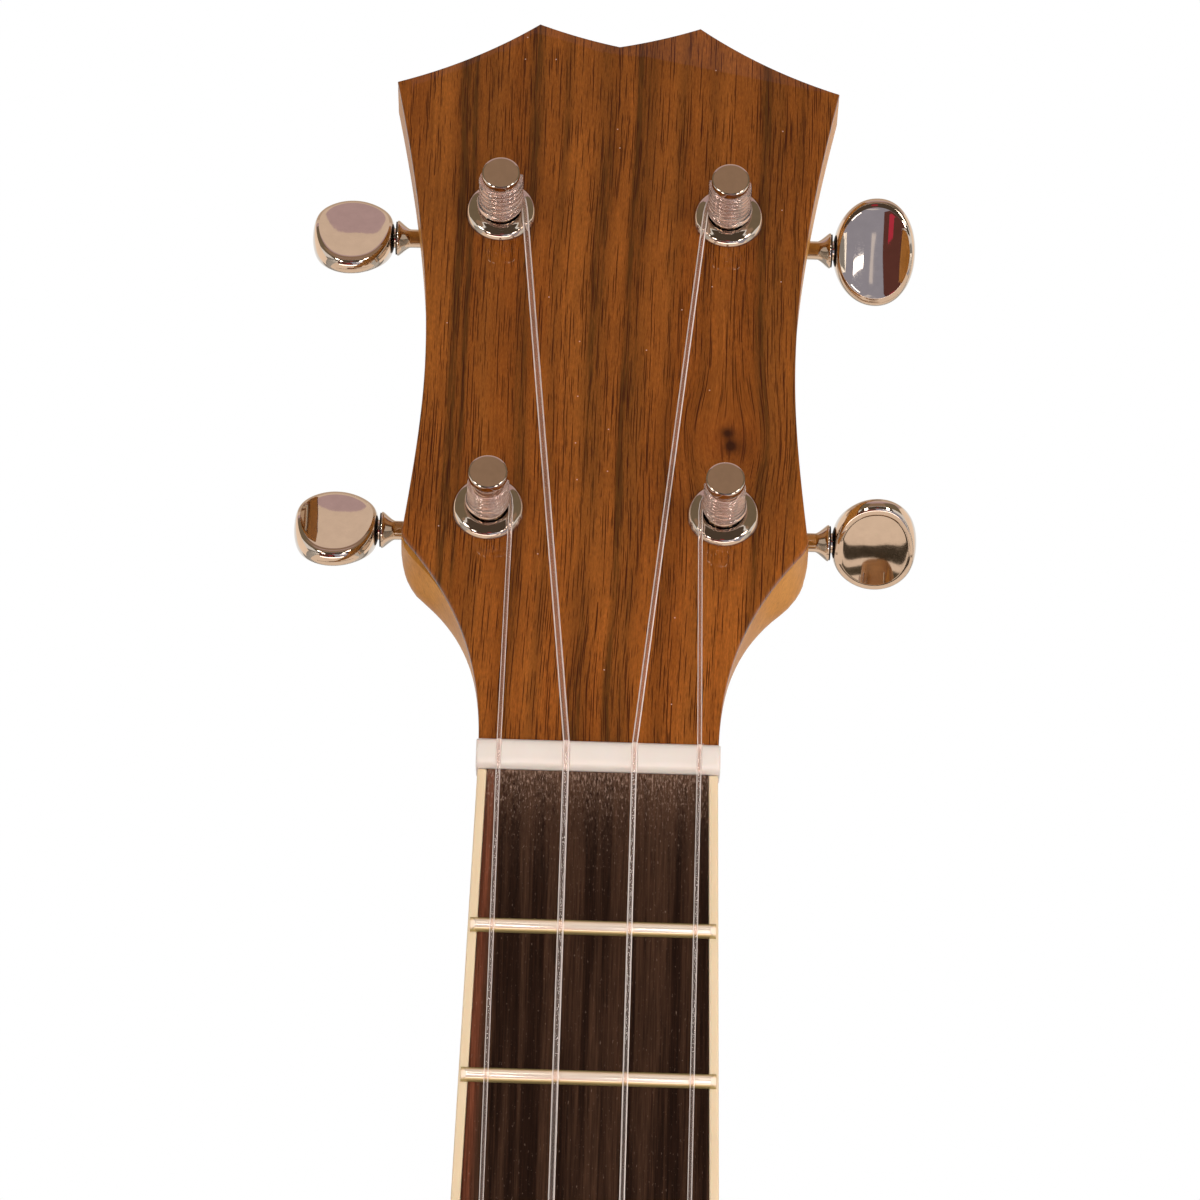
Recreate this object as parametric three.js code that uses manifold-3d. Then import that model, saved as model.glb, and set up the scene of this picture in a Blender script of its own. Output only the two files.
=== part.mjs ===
// A tenor-scale banjo ukulele: a walnut-faced headstock with four enclosed tuners, a bound
// fretboard on a maple neck, and an open-backed pot whose head is tightened by twelve hooks.
//
// Millimetres. The instrument hangs upright, +Z up the neck, its front towards -Y. It is drawn in a
// scale frame, whose zero is the nut's front edge on the face of the fretboard, and the whole group
// is then moved so that the origin is where a wall hanger's yoke holds the headstock's shoulders.
import * as THREE from "three";
import { mergeVertices } from "three/addons/utils/BufferGeometryUtils.js";
import Module from "manifold-3d";

const wasm = await Module();
wasm.setup();

// Driving dimensions
const scaleLength = 426;
const nutWidth = 36;
const boardTaper = 0.05; // gain in width for each millimetre towards the pot
const boardThickness = 5.4;
const bindingWidth = 1.45;
const fretCount = 17;
const seat = 0.1; // gap left between two pieces that touch

const nutLength = 4.6;
const nutHeight = 1.3; // above the fretboard
const slotAcross = [-14.9, -4.8, 5.4, 15.1];
const stringDiameter = [0.7, 1.0, 0.86, 0.7];
const bridgeSpacing = 10.8;

const headTilt = THREE.MathUtils.degToRad(14.3);
const headFaceDepth = 2.1; // of the headstock's face below the fretboard's, at the nut
const headThickness = 9.6;
const headStart = 3.8; // of the headstock's outline, above the nut's front edge
const veneerThickness = 1;

const postAcross = 18.1;
const lowerPost = 41.8;
const upperPost = 97.1;
const postHeight = 11;
const postRadius = 3;
const waistRadius = 2.4;

const wormTeeth = 14;
const wheelPitchRadius = 3.9;
const wormPitchRadius = 1.6;
const wormDepth = 16.4;
const buttonInner = 17.4; // from the post's axis to the near end of the button
const buttonLength = 13.4;
const buttonWidth = 17.5;
const buttonWaist = 3.1; // its thickness across the middle of its scooped faces
const buttonEnds = 5.3; // and at its two ends

const rimRadius = 99.6;
const rimWall = 8;
const rimFront = 6.9;
const rimBack = 60;
const skinFront = 6;
const skinThickness = 0.6;
const hoopInner = 101.4;
const hoopOuter = 107.2;
const hoopFront = 2.5;
const hoopBack = 11.7;
const hookCount = 12;
const hookRadius = 1.25;
const hookCentre = 109.2;
const bridgeHeight = 12.8;
const rodDepth = 34;

const yokeAbove = 24; // the hanger's yoke, above the nut's front edge
const yokeDepth = 12; // and behind the fretboard's face

// Materials
const finish = (name, color, roughness, metalness) =>
  new THREE.MeshStandardMaterial({ name, color, roughness, metalness });
const maple = finish("maple", 0xd9a468, 0.35, 0);
const walnut = finish("walnut", 0x8a5224, 0.3, 0);
const rosewood = finish("rosewood", 0x35231a, 0.45, 0);
const cream = finish("cream_binding", 0xe8cfa6, 0.4, 0);
const bone = finish("white_nut", 0xf2e2d8, 0.35, 0);
const nickel = finish("nickel_silver", 0xc9bd9c, 0.25, 1);
const chrome = finish("chrome", 0xcfcbc6, 0.08, 1);
const nylon = finish("clear_nylon", 0xe6dcd2, 0.2, 0);
const skin = finish("frosted_skin", 0xf3f0e8, 0.7, 0);

// Closed surfaces and solids

// A solid with its faces outwards, whichever way round the geometry was drawn.
function solidOf(geometry) {
  const bare = geometry.index ? geometry.toNonIndexed() : geometry.clone();
  const onlyPlaces = new THREE.BufferGeometry();
  onlyPlaces.setAttribute("position", bare.getAttribute("position"));
  const merged = mergeVertices(onlyPlaces, 1e-4);
  const places = merged.attributes.position.array;
  const faces = [];
  for (let i = 0; i < merged.index.count; i += 3) {
    const [a, b, c] = merged.index.array.slice(i, i + 3);
    if (a !== b && b !== c && c !== a) faces.push(a, b, c);
  }
  if (signedVolume(places, faces) < 0) faces.reverse();
  return new wasm.Manifold(
    new wasm.Mesh({
      numProp: 3,
      vertProperties: places,
      triVerts: new Uint32Array(faces),
    }),
  );
}

function signedVolume(places, faces) {
  const corner = (i) => new THREE.Vector3().fromArray(places, 3 * i);
  let sum = 0;
  for (let i = 0; i < faces.length; i += 3) {
    const [a, b, c] = [faces[i], faces[i + 1], faces[i + 2]].map(corner);
    sum += a.dot(b.cross(c)) / 6;
  }
  return sum;
}

function geometryOf(solid) {
  const mesh = solid.getMesh();
  const places = new Float32Array(mesh.numVert * 3);
  for (let i = 0; i < mesh.numVert; i++) {
    const start = i * mesh.numProp;
    places.set(mesh.vertProperties.subarray(start, start + 3), 3 * i);
  }
  const geometry = new THREE.BufferGeometry();
  geometry.setAttribute("position", new THREE.BufferAttribute(places, 3));
  geometry.setIndex(new THREE.BufferAttribute(mesh.triVerts, 1));
  const faceted = geometry.toNonIndexed();
  faceted.computeVertexNormals();
  return faceted;
}

const join = (first, ...others) => others.reduce((sum, s) => sum.add(s), first);
const cut = (first, ...others) =>
  others.reduce((left, s) => left.subtract(s), first);

// Skins a row of matching closed rings and closes both ends.
function loft(rings) {
  const count = rings[0].length;
  const places = rings.flat().flatMap((p) => [p.x, p.y, p.z]);
  const faces = [];
  for (let r = 0; r + 1 < rings.length; r++)
    for (let i = 0; i < count; i++) {
      const a = r * count + i;
      const b = r * count + ((i + 1) % count);
      faces.push(a, b, b + count, a, b + count, a + count);
    }
  const last = (rings.length - 1) * count;
  for (const [a, b, c] of endFaces(rings[0])) faces.push(c, b, a);
  for (const [a, b, c] of endFaces(rings[rings.length - 1]))
    faces.push(last + a, last + b, last + c);
  const geometry = new THREE.BufferGeometry();
  geometry.setAttribute(
    "position",
    new THREE.Float32BufferAttribute(places, 3),
  );
  geometry.setIndex(faces);
  return solidOf(geometry);
}

// Triangles that fill one flat ring, wound as the ring is.
function endFaces(ring) {
  const normal = new THREE.Vector3();
  ring.forEach((p, i) => normal.add(p.clone().cross(ring[(i + 1) % ring.length])));
  const turn = new THREE.Quaternion().setFromUnitVectors(
    normal.normalize(),
    new THREE.Vector3(0, 0, 1),
  );
  const flat = ring.map((p) => {
    const q = p.clone().applyQuaternion(turn);
    return new THREE.Vector2(q.x, q.y);
  });
  return THREE.ShapeUtils.triangulateShape(flat, []);
}

// A round tube along a list of points, its ends square and closed. A list of radii gives each point
// its own.
function tube(points, radii, sides) {
  const along = points.map((p, i) => {
    const before = points[Math.max(i - 1, 0)];
    const after = points[Math.min(i + 1, points.length - 1)];
    return after.clone().sub(before).normalize();
  });
  let side = new THREE.Vector3(1, 0, 0);
  if (Math.abs(along[0].x) > 0.9) side.set(0, 0, 1);
  const rings = points.map((p, i) => {
    side = side.clone().addScaledVector(along[i], -side.dot(along[i])).normalize();
    const up = new THREE.Vector3().crossVectors(along[i], side);
    const radius = radii[i] ?? radii;
    return Array.from({ length: sides }, (_, k) => {
      const turn = (2 * Math.PI * k) / sides;
      return p
        .clone()
        .addScaledVector(side, radius * Math.cos(turn))
        .addScaledVector(up, radius * Math.sin(turn));
    });
  });
  return loft(rings);
}

// A profile of [radius, height] points turned about Y.
function turned(profile, segments) {
  const points = profile.map(([r, y]) => new THREE.Vector2(r, y));
  return solidOf(new THREE.LatheGeometry(points, segments));
}

// A turned ring, whose profile closes on itself.
const ring = (profile, segments) => turned([...profile, profile[0]], segments);

// A cylinder along Y between two heights.
function rod(radius, low, high, segments) {
  return turned(
    [
      [0, low],
      [radius, low],
      [radius, high],
      [0, high],
    ],
    segments,
  );
}

const alongX = (solid) => solid.rotate([0, 0, -90]);
const alongZ = (solid) => solid.rotate([90, 0, 0]);

function block(x, y, z) {
  const box = new THREE.BoxGeometry(x[1] - x[0], y[1] - y[0], z[1] - z[0]);
  box.translate((x[0] + x[1]) / 2, (y[0] + y[1]) / 2, (z[0] + z[1]) / 2);
  return solidOf(box);
}

// A shape drawn in X and Z, given its thickness along Y.
function plate(points, front, back) {
  const at = (y) => points.map(([x, z]) => new THREE.Vector3(x, y, z));
  return loft([at(front), at(back)]);
}

function add(parent, name, solid, material) {
  const mesh = new THREE.Mesh(geometryOf(solid), material);
  mesh.name = name;
  parent.add(mesh);
  return mesh;
}

// Sizes that follow from the driving dimensions
const fretAt = (n) => scaleLength * (1 - 2 ** (-n / 12));
const boardEnd = fretAt(fretCount) + 5.6;
const halfWidth = (down) => (nutWidth + boardTaper * down) / 2;
const potZ = -(boardEnd + 0.6 + hoopOuter);
const skinBack = skinFront + skinThickness;
const neckTop = boardThickness + seat;
const rimInside = rimRadius - rimWall;
const fromPot = (solid) => solid.translate([0, 0, potZ]);

// Headstock

// One side of the headstock from the nut to the notch at the tip, as [across, along]. The hip is
// where the wood swells below the lower tuners; bulge 1 gives the back's fuller hip.
function headSide(bulge) {
  const mix = (a, b) => a + (b - a) * bulge;
  const path = new THREE.Path();
  path.moveTo(nutWidth / 2 + 0.05, 0);
  path.bezierCurveTo(18.05, 14, 21.5, 24.5, mix(30.3, 28.2), mix(35.6, 30.4));
  path.quadraticCurveTo(mix(31.7, 31.2), mix(37.2, 33.4), mix(31.1, 31.5), 38.8);
  path.bezierCurveTo(30.2, 47, 29, 58, 29, 68);
  path.bezierCurveTo(29, 86, 31.9, 104, 35.7, 122.1);
  path.quadraticCurveTo(23.4, 126.4, 13.05, 134.4);
  path.quadraticCurveTo(6.7, 131.8, 0, 130.3);
  const steps = [9, 4, 5, 8, 5, 3];
  return path.curves.flatMap((curve, i) =>
    curve.getPoints(steps[i]).slice(i ? 1 : 0).map((p) => [p.x, p.y]),
  );
}

function headOutline(bulge) {
  const side = headSide(bulge);
  const other = side.slice(0, -1).map(([x, z]) => [-x, z]);
  return [...side, ...other.reverse()];
}

const posts = [
  { name: "upper_left", side: -1, along: upperPost, string: 1, turns: 4, buttonTurn: -57 },
  { name: "upper_right", side: 1, along: upperPost, string: 2, turns: 4, buttonTurn: 4 },
  { name: "lower_left", side: -1, along: lowerPost, string: 0, turns: 3, buttonTurn: -55 },
  { name: "lower_right", side: 1, along: lowerPost, string: 3, turns: 3, buttonTurn: 36 },
];
const viewLean = 35; // an unturned button's broad faces lean this far back from upright

const headstock = new THREE.Group();
headstock.position.set(0, headFaceDepth, headStart);
headstock.rotation.x = -headTilt;

const inHead = (solid) =>
  solid
    .rotate([THREE.MathUtils.radToDeg(-headTilt), 0, 0])
    .translate([0, headFaceDepth, headStart]);

const bushingHoles = (radius) =>
  posts.map((p) =>
    rod(radius, -5, 30, 12).translate([p.side * postAcross, 0, p.along]),
  );

function headCore() {
  const at = (depth, bulge) =>
    headOutline(bulge).map(([x, z]) => new THREE.Vector3(x, depth, z));
  const core = loft([
    at(veneerThickness + seat, 0),
    at(4, 0.8),
    at(headThickness, 1),
  ]);
  return cut(core, ...bushingHoles(4.7));
}

function veneer() {
  const sheet = plate(headOutline(0), 0, veneerThickness);
  return cut(inHead(cut(sheet, ...bushingHoles(4.7))), boardAndNutSpace());
}

// All that lies in front of the neck, from the back of the nut down.
const boardAndNutSpace = () => block([-40, 40], [-20, neckTop], [-400, nutLength]);

// Neck

// One cross-section of the neck: flat where the fretboard sits, a rounded D behind it. A high
// narrowing draws the sides in, as on the heel.
function neckRing(z, half, top, back, narrowing) {
  const steps = 12;
  const depth = back - top;
  return Array.from({ length: steps + 1 }, (_, i) => {
    const turn = (Math.PI * i) / steps;
    const across = Math.sign(Math.cos(turn)) * Math.abs(Math.cos(turn)) ** narrowing;
    const down = Math.abs(Math.sin(turn)) ** 0.9;
    return new THREE.Vector3(half * across, top + depth * down, z);
  });
}

function neckShaft() {
  const shaft = [
    [30, 9, 12, 18.2, 0.9],
    [17, 15, 8.2, 18, 0.9],
    [8, 17.8, 6.4, 17.8, 0.85],
    [headStart - 0.1, 18, neckTop, 17.6, 0.85],
    [0, 18, neckTop, 17.4, 0.85],
  ];
  const behindBoard = (down, back, narrowing) => [
    -down,
    halfWidth(down),
    neckTop,
    back,
    narrowing,
  ];
  const rings = [
    ...shaft,
    behindBoard(110, 18.4, 0.85),
    behindBoard(205, 20, 0.85),
    behindBoard(225, 22, 0.9),
    behindBoard(238, 26.5, 1),
    behindBoard(248, 33, 1.15),
    behindBoard(256, 40.5, 1.3),
    behindBoard(263, 48, 1.4),
    behindBoard(270, 53, 1.45),
    behindBoard(284, 56, 1.5),
  ];
  return loft(rings.map((r) => neckRing(...r)));
}

function neck() {
  const wood = join(neckShaft(), inHead(headCore()));
  const potSeat = fromPot(rod(rimRadius + 0.3, 10, 80, 48));
  const hoopSeat = fromPot(rod(hoopOuter + 0.5, -5, 16.4, 48));
  const boltHole = fromPot(alongZ(rod(3.1, 80, rimInside + 31, 10)).translate([0, rodDepth, 0]));
  return cut(wood, boardAndNutSpace(), potSeat, hoopSeat, boltHole);
}

function fretboard() {
  const half = (down) => halfWidth(down) - bindingWidth - seat / 2;
  const end = boardEnd - bindingWidth - seat / 2;
  const board = plate(
    [
      [-half(0), -seat],
      [half(0), -seat],
      [half(end), -end],
      [-half(end), -end],
    ],
    0,
    boardThickness,
  );
  const slots = frets().map(({ down }) =>
    block([-40, 40], [-1, 2.4], [-down - 0.45, -down + 0.45]),
  );
  return cut(board, ...slots);
}

function binding() {
  const edge = (down, inset) => halfWidth(down) - inset;
  const inner = bindingWidth;
  const end = boardEnd - bindingWidth;
  const outline = [
    [-edge(0, 0), -seat],
    [-edge(0, inner), -seat],
    [-edge(end, inner), -end],
    [edge(end, inner), -end],
    [edge(0, inner), -seat],
    [edge(0, 0), -seat],
    [edge(boardEnd, 0), -boardEnd],
    [-edge(boardEnd, 0), -boardEnd],
  ];
  return plate(outline, 0, boardThickness);
}

const frets = () =>
  Array.from({ length: fretCount }, (_, i) => ({
    number: i + 1,
    down: fretAt(i + 1),
  }));

// A T-section wire: a crown across the binding, its ends filed to a slope, and a tang in the slot.
function fret(down) {
  const crownHalf = 1.1;
  const crownHeight = 1.05;
  const reach = halfWidth(down) - 0.4;
  const filed = 0.7;
  const section = Array.from({ length: 6 }, (_, i) => {
    const turn = (Math.PI * i) / 5;
    return [crownHalf * Math.cos(turn), -crownHeight * Math.sin(turn)];
  });
  const end = (side) =>
    section.map(([z, y]) => {
      const x = side * (reach + filed * y);
      return new THREE.Vector3(x, y - 0.02, z - down);
    });
  const crown = loft([end(-1), end(1)]);
  const tangHalf = halfWidth(down) - bindingWidth - 1;
  const tang = block([-tangHalf, tangHalf], [-0.3, 2.1], [-down - 0.3, -down + 0.3]);
  return join(crown, tang);
}

// Strings

const nutTop = -nutHeight;
const stringAtNut = (i) => nutTop + 0.35 - stringDiameter[i] * 0.2;
const bridgeTop = skinFront - bridgeHeight;
const bridgeAcross = (i) => bridgeSpacing * (i - 1.5);

function nut() {
  const profile = [
    [neckTop - seat, 0],
    [nutTop + 0.25, 0],
    [nutTop - 0.1, 0.45],
    [nutTop, 2.2],
    [nutTop + 0.5, nutLength - seat - 0.3],
    [nutTop + 1, nutLength - seat],
    [neckTop - seat, nutLength - seat],
  ];
  const half = nutWidth / 2 + 0.3;
  const at = (x) => profile.map(([y, z]) => new THREE.Vector3(x, y, z));
  const blank = loft([at(-half), at(half)]);
  const grooves = slotAcross.map((x, i) => {
    const radius = stringDiameter[i] / 2 + 0.2;
    const bed = stringAtNut(i);
    const along = [-1, nutLength + 1];
    const groove = tube(along.map((z) => new THREE.Vector3(x, bed, z)), radius, 8);
    return join(groove, block([x - radius, x + radius], [bed - 3, bed], along));
  });
  return cut(blank, ...grooves);
}

// A string's route: wound down its post, off the post's inner side, over the nut and the bridge,
// and into its hole in the tailpiece.
function stringRoute(post) {
  const i = post.string;
  const thick = stringDiameter[i];
  const turnSteps = 24;
  const pitch = thick + 0.45;
  const around = waistRadius + 0.3 + thick / 2;
  const centre = new THREE.Vector2(post.side * postAcross, post.along);
  const slot = new THREE.Vector2(slotAcross[i], 0);
  const towards = slot.clone().sub(centre);
  const reach = towards.length();
  const lean = Math.asin(around / reach);
  const heading = Math.atan2(towards.y, towards.x) + post.side * lean;
  const leaves = heading - (post.side * Math.PI) / 2;
  const low = post.turns > 3 ? 2.5 : 3.4;
  const inHeadstock = (x, height, z) =>
    new THREE.Vector3(x, -height, z).applyMatrix4(headstock.matrix);
  const wound = [];
  for (let k = post.turns * turnSteps; k >= 0; k--) {
    const turn = leaves - (post.side * 2 * Math.PI * k) / turnSteps;
    const x = centre.x + around * Math.cos(turn);
    const z = centre.y + around * Math.sin(turn);
    wound.push(inHeadstock(x, low + (pitch * k) / turnSteps, z));
  }
  const straightEnd = wound[0]
    .clone()
    .add(wound[0].clone().sub(wound[1]).setLength(thick));
  const down = stringAtNut(i);
  const nutBack = new THREE.Vector3(slotAcross[i], down + 0.1, nutLength - 0.5);
  const nutFront = new THREE.Vector3(slotAcross[i], down - 0.05, 0.3);
  const across = bridgeAcross(i);
  const overBridge = new THREE.Vector3(across, bridgeTop + 0.5 - thick / 2, -scaleLength);
  const overPlate = plateBack - plateThick - 0.5 - thick / 2;
  const hole = new THREE.Vector3(across * 0.97, overPlate, potZ - holeAlong + 1.2);
  const inHole = hole.clone().add(new THREE.Vector3(0, 0.75, -1));
  const knot = [3, 3.4, 4.6, 5].map((y) => hole.clone().add(new THREE.Vector3(0, y, -1.2)));
  const overBoard = [nutBack, nutFront, overBridge, hole, inHole];
  return { points: [straightEnd, ...wound, ...overBoard, ...knot], wound, thick, turnSteps };
}

// The string as one tube, with a knot behind the tailpiece.
function stringSolid(post) {
  const { points, thick } = stringRoute(post);
  const radii = points.map(() => thick / 2);
  radii.splice(-3, 3, 1.25, 1.25, 0.6);
  return tube(points, radii, 6);
}

// The least gap between one turn of a winding and the next.
function leastGap(post) {
  const { wound, thick, turnSteps } = stringRoute(post);
  let least = Infinity;
  wound.forEach((p, i) => {
    for (let j = i + turnSteps / 2; j < wound.length; j++)
      least = Math.min(least, p.distanceTo(wound[j]) - thick);
  });
  return least;
}

// Tuners. Each is drawn for the right side, with its post on Y and its button out along X, and the
// left ones are its mirror images.

const wormAway = wheelPitchRadius + wormPitchRadius;
const lead = (2 * Math.PI * wheelPitchRadius) / wormTeeth;
const toothHalf = 0.31; // half the width of a wheel's tooth at its pitch circle
const threadHalf = 0.25; // and of the worm's thread

function wormWheel() {
  const root = 3.15;
  const tip = 4.45;
  const step = (2 * Math.PI) / wormTeeth;
  const faceHalf = 1;
  const lean = lead / (2 * Math.PI * wormPitchRadius) / wheelPitchRadius;
  const outline = (turn) =>
    Array.from({ length: wormTeeth }, (_, i) => {
      const middle = i * step + turn;
      const rootTurn = (toothHalf + 0.2) / root;
      const tipTurn = (toothHalf - 0.14) / tip;
      return [
        [root, middle - rootTurn],
        [tip, middle - tipTurn],
        [tip, middle + tipTurn],
        [root, middle + rootTurn],
      ];
    }).flat();
  const at = (y) =>
    outline(lean * y).map(
      ([r, turn]) =>
        new THREE.Vector3(r * Math.sin(turn), y + wormDepth, r * Math.cos(turn)),
    );
  return loft([at(-faceHalf), at(faceHalf)]);
}

// A right-handed thread on X, with a gap facing the wheel at rest.
function wormThread() {
  const stepsInTurn = 8;
  const turns = 2.25;
  const inner = 0.7;
  const outer = 2.05;
  const rings = [];
  for (let k = 0; k <= turns * stepsInTurn; k++) {
    const turned = k / stepsInTurn - turns / 2;
    const along = lead * turned;
    const turn = 2 * Math.PI * (turned + 1 / 4);
    const point = (r, x) =>
      new THREE.Vector3(x, r * Math.cos(turn), r * Math.sin(turn));
    rings.push([
      point(inner, along - threadHalf - 0.22),
      point(outer, along - threadHalf + 0.12),
      point(outer, along + threadHalf - 0.12),
      point(inner, along + threadHalf + 0.22),
    ]);
  }
  return loft(rings);
}

function post() {
  const gearTop = wormDepth - 1.6;
  const shaft = turned(
    [
      [0, -postHeight],
      [postRadius, -postHeight],
      [postRadius, -postHeight + 1.3],
      [waistRadius, -postHeight + 1.9],
      [waistRadius, -1.7],
      [postRadius - 0.1, -1.1],
      [postRadius - 0.1, gearTop],
      [2, gearTop],
      [2, wormDepth + 1.9],
      [0, wormDepth + 1.9],
    ],
    12,
  );
  const stringHole = alongX(rod(0.75, -6, 6, 6)).translate([0, -postHeight + 3.3, 0]);
  return cut(join(shaft, wormWheel()), stringHole);
}

// The worm's shaft with its button: a thick oval, flared where it meets the shaft.
function button(turnDegrees) {
  const shaft = alongX(
    turned(
      [
        [0, -5.7],
        [0.85, -5.7],
        [0.85, 4.6],
        [1.5, 4.6],
        [1.5, buttonInner - 2],
        [2.7, buttonInner - 1.6],
        [2.9, buttonInner - 0.4],
        [1.9, buttonInner + 0.4],
        [1.9, buttonInner + 2],
        [0, buttonInner + 2],
      ],
      8,
    ),
  );
  const oval = (size, heightAt) =>
    Array.from({ length: 16 }, (_, k) => {
      const turn = (2 * Math.PI * k) / 16;
      const along = size * Math.cos(turn);
      return new THREE.Vector3(
        buttonInner + (buttonLength / 2) * (1 + along),
        heightAt(along),
        (buttonWidth / 2) * size * Math.sin(turn),
      );
    });
  // Each face is scooped along its length, so the button is thinnest at its middle.
  const scoop = (along) => (buttonWaist + (buttonEnds - buttonWaist) * (along / 0.85) ** 2) / 2;
  const face = (side) => [
    oval(0.45, (along) => side * (scoop(along) - 0.25)),
    oval(0.85, (along) => side * scoop(along)),
  ];
  const barrel = [
    oval(0.97, (along) => -0.55 * scoop(0.85 * along)),
    oval(1, () => 0),
    oval(0.97, (along) => 0.55 * scoop(0.85 * along)),
  ];
  const grip = loft([...face(-1), ...barrel, ...face(1).reverse()]).rotate([
    viewLean + turnDegrees,
    0,
    0,
  ]);
  return join(shaft, wormThread(), grip).translate([0, wormDepth, wormAway]);
}

// A ferrule pressed in from the face, with a dished flange.
function ferrule() {
  return ring(
    [
      [3.4, 7.6],
      [4.45, 7.6],
      [4.45, -seat],
      [5.5, -seat],
      [5.5, -0.55],
      [4.8, -1.25],
      [3.8, -1.35],
    ],
    16,
  );
}

// A die-cast case behind the headstock, hollow round the worm and its wheel.
function housing() {
  const front = headThickness + 0.15;
  const back = 20.8;
  const corner = 3;
  const outline = (inset) =>
    [
      [8.6, -6.4, -90],
      [8.6, 9.4, 0],
      [-7, 9.4, 90],
      [-7, -6.4, 180],
    ].flatMap(([x, z, start]) =>
      [0, 45, 90].map((step) => {
        const turn = THREE.MathUtils.degToRad(start + step);
        const round = corner - inset;
        return [
          x - Math.sign(x) * corner + round * Math.cos(turn),
          z - Math.sign(z) * corner + round * Math.sin(turn),
        ];
      }),
    );
  const at = (y, inset) =>
    outline(inset).map(([x, z]) => new THREE.Vector3(x, y, z));
  const shell = loft([at(front, 0), at(back - 1.6, 0), at(back - 0.4, 0.5), at(back, 1.5)]);
  const lug = rod(3, front, front + 2.2, 10).translate([-3.4, 0, -8.2]);
  const screwHole = rod(1.1, front - 1, front + 4, 6).translate([-3.4, 0, -9]);
  const wheelSpace = rod(4.8, wormDepth - 1.7, wormDepth + 2.1, 12);
  const wormSpace = block(
    [-4.9, 5.2],
    [wormDepth - 2.5, wormDepth + 2.5],
    [wormAway - 3.9, wormAway + 2.5],
  );
  const postBore = rod(3.2, front - 1, wormDepth, 12);
  const shaftBores = [rod(1.85, 3, 20, 8), rod(1.1, -6, 0, 6)].map((s) =>
    alongX(s).translate([0, wormDepth, wormAway]),
  );
  return cut(join(shell, lug), screwHole, wheelSpace, wormSpace, postBore, ...shaftBores);
}

// Pot

const hookTurn = (i) => ((i + 0.5) * 2 * Math.PI) / hookCount;
const shoeDepth = 31;

function rim() {
  const wall = ring(
    [
      [rimInside, rimFront],
      [rimRadius - 1.2, rimFront],
      [rimRadius, rimFront + 1.2],
      [rimRadius, rimBack],
      [rimInside, rimBack],
    ],
    48,
  );
  const boltHoles = Array.from({ length: hookCount }, (_, i) =>
    alongZ(rod(2.2, 80, 110, 6))
      .translate([0, shoeDepth, 0])
      .rotate([0, THREE.MathUtils.radToDeg(hookTurn(i)), 0]),
  );
  const rodHoles = alongZ(rod(3.4, -120, 120, 12)).translate([0, rodDepth, 0]);
  return fromPot(cut(wall, ...boltHoles, rodHoles));
}

// The playing skin, its collar down the rim, and the flesh hoop that grips it.
function drumHead() {
  const collar = rimRadius + 0.4;
  return fromPot(
    turned(
      [
        [0, skinFront],
        [collar - 1, skinFront],
        [collar + skinThickness, skinFront + 1.4],
        [collar + skinThickness, 12],
        [collar + 3, 12],
        [collar + 3, 15],
        [collar, 15],
        [collar, skinFront + 1.7],
        [collar - 1.2, skinBack],
        [0, skinBack],
      ],
      48,
    ),
  );
}

// The tension hoop, grooved along its front for the hooks' tips.
function tensionHoop() {
  return fromPot(
    ring(
      [
        [hoopInner, hoopFront + 0.5],
        [hoopInner + 0.4, hoopFront],
        [102.8, hoopFront],
        [102.8, 5.2],
        [106.2, 5.2],
        [106.2, hoopFront],
        [hoopOuter, hoopFront + 0.3],
        [hoopOuter, hoopBack],
        [hoopInner, hoopBack],
      ],
      48,
    ),
  );
}

// One bracket: the hook over the hoop, the shoe that it passes through, its long nut, and the bolt
// that holds the shoe to the rim. Drawn with the pot's radius along Z.
function bracket() {
  const bend = [
    [shoeDepth - 4, hookCentre],
    [3.2, hookCentre],
    [1.1, 108.1],
    [1.1, 105.6],
    [3, 104.5],
    [4.7, 104.5],
  ];
  const hook = tube(bend.map(([y, z]) => new THREE.Vector3(0, y, z)), hookRadius, 5);
  const barrelAndNut = turned(
    [
      [0, shoeDepth - 5],
      [3.2, shoeDepth - 5],
      [3.2, shoeDepth + 5],
      [3.7, shoeDepth + 5],
      [3.7, shoeDepth + 15],
      [0, shoeDepth + 15],
    ],
    6,
  ).translate([0, 0, hookCentre]);
  const bolt = alongZ(
    turned(
      [
        [0, rimInside - 3.4],
        [4, rimInside - 3.4],
        [4, rimInside - 0.35],
        [1.8, rimInside - 0.35],
        [1.8, rimRadius + seat],
        [4.5, rimRadius + seat],
        [4.5, rimRadius + 2.2],
        [2.4, rimRadius + 2.8],
        [2.4, hookCentre - 2],
        [0, hookCentre - 2],
      ],
      6,
    ),
  ).translate([0, shoeDepth, 0]);
  return join(hook, barrelAndNut, bolt);
}

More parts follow.
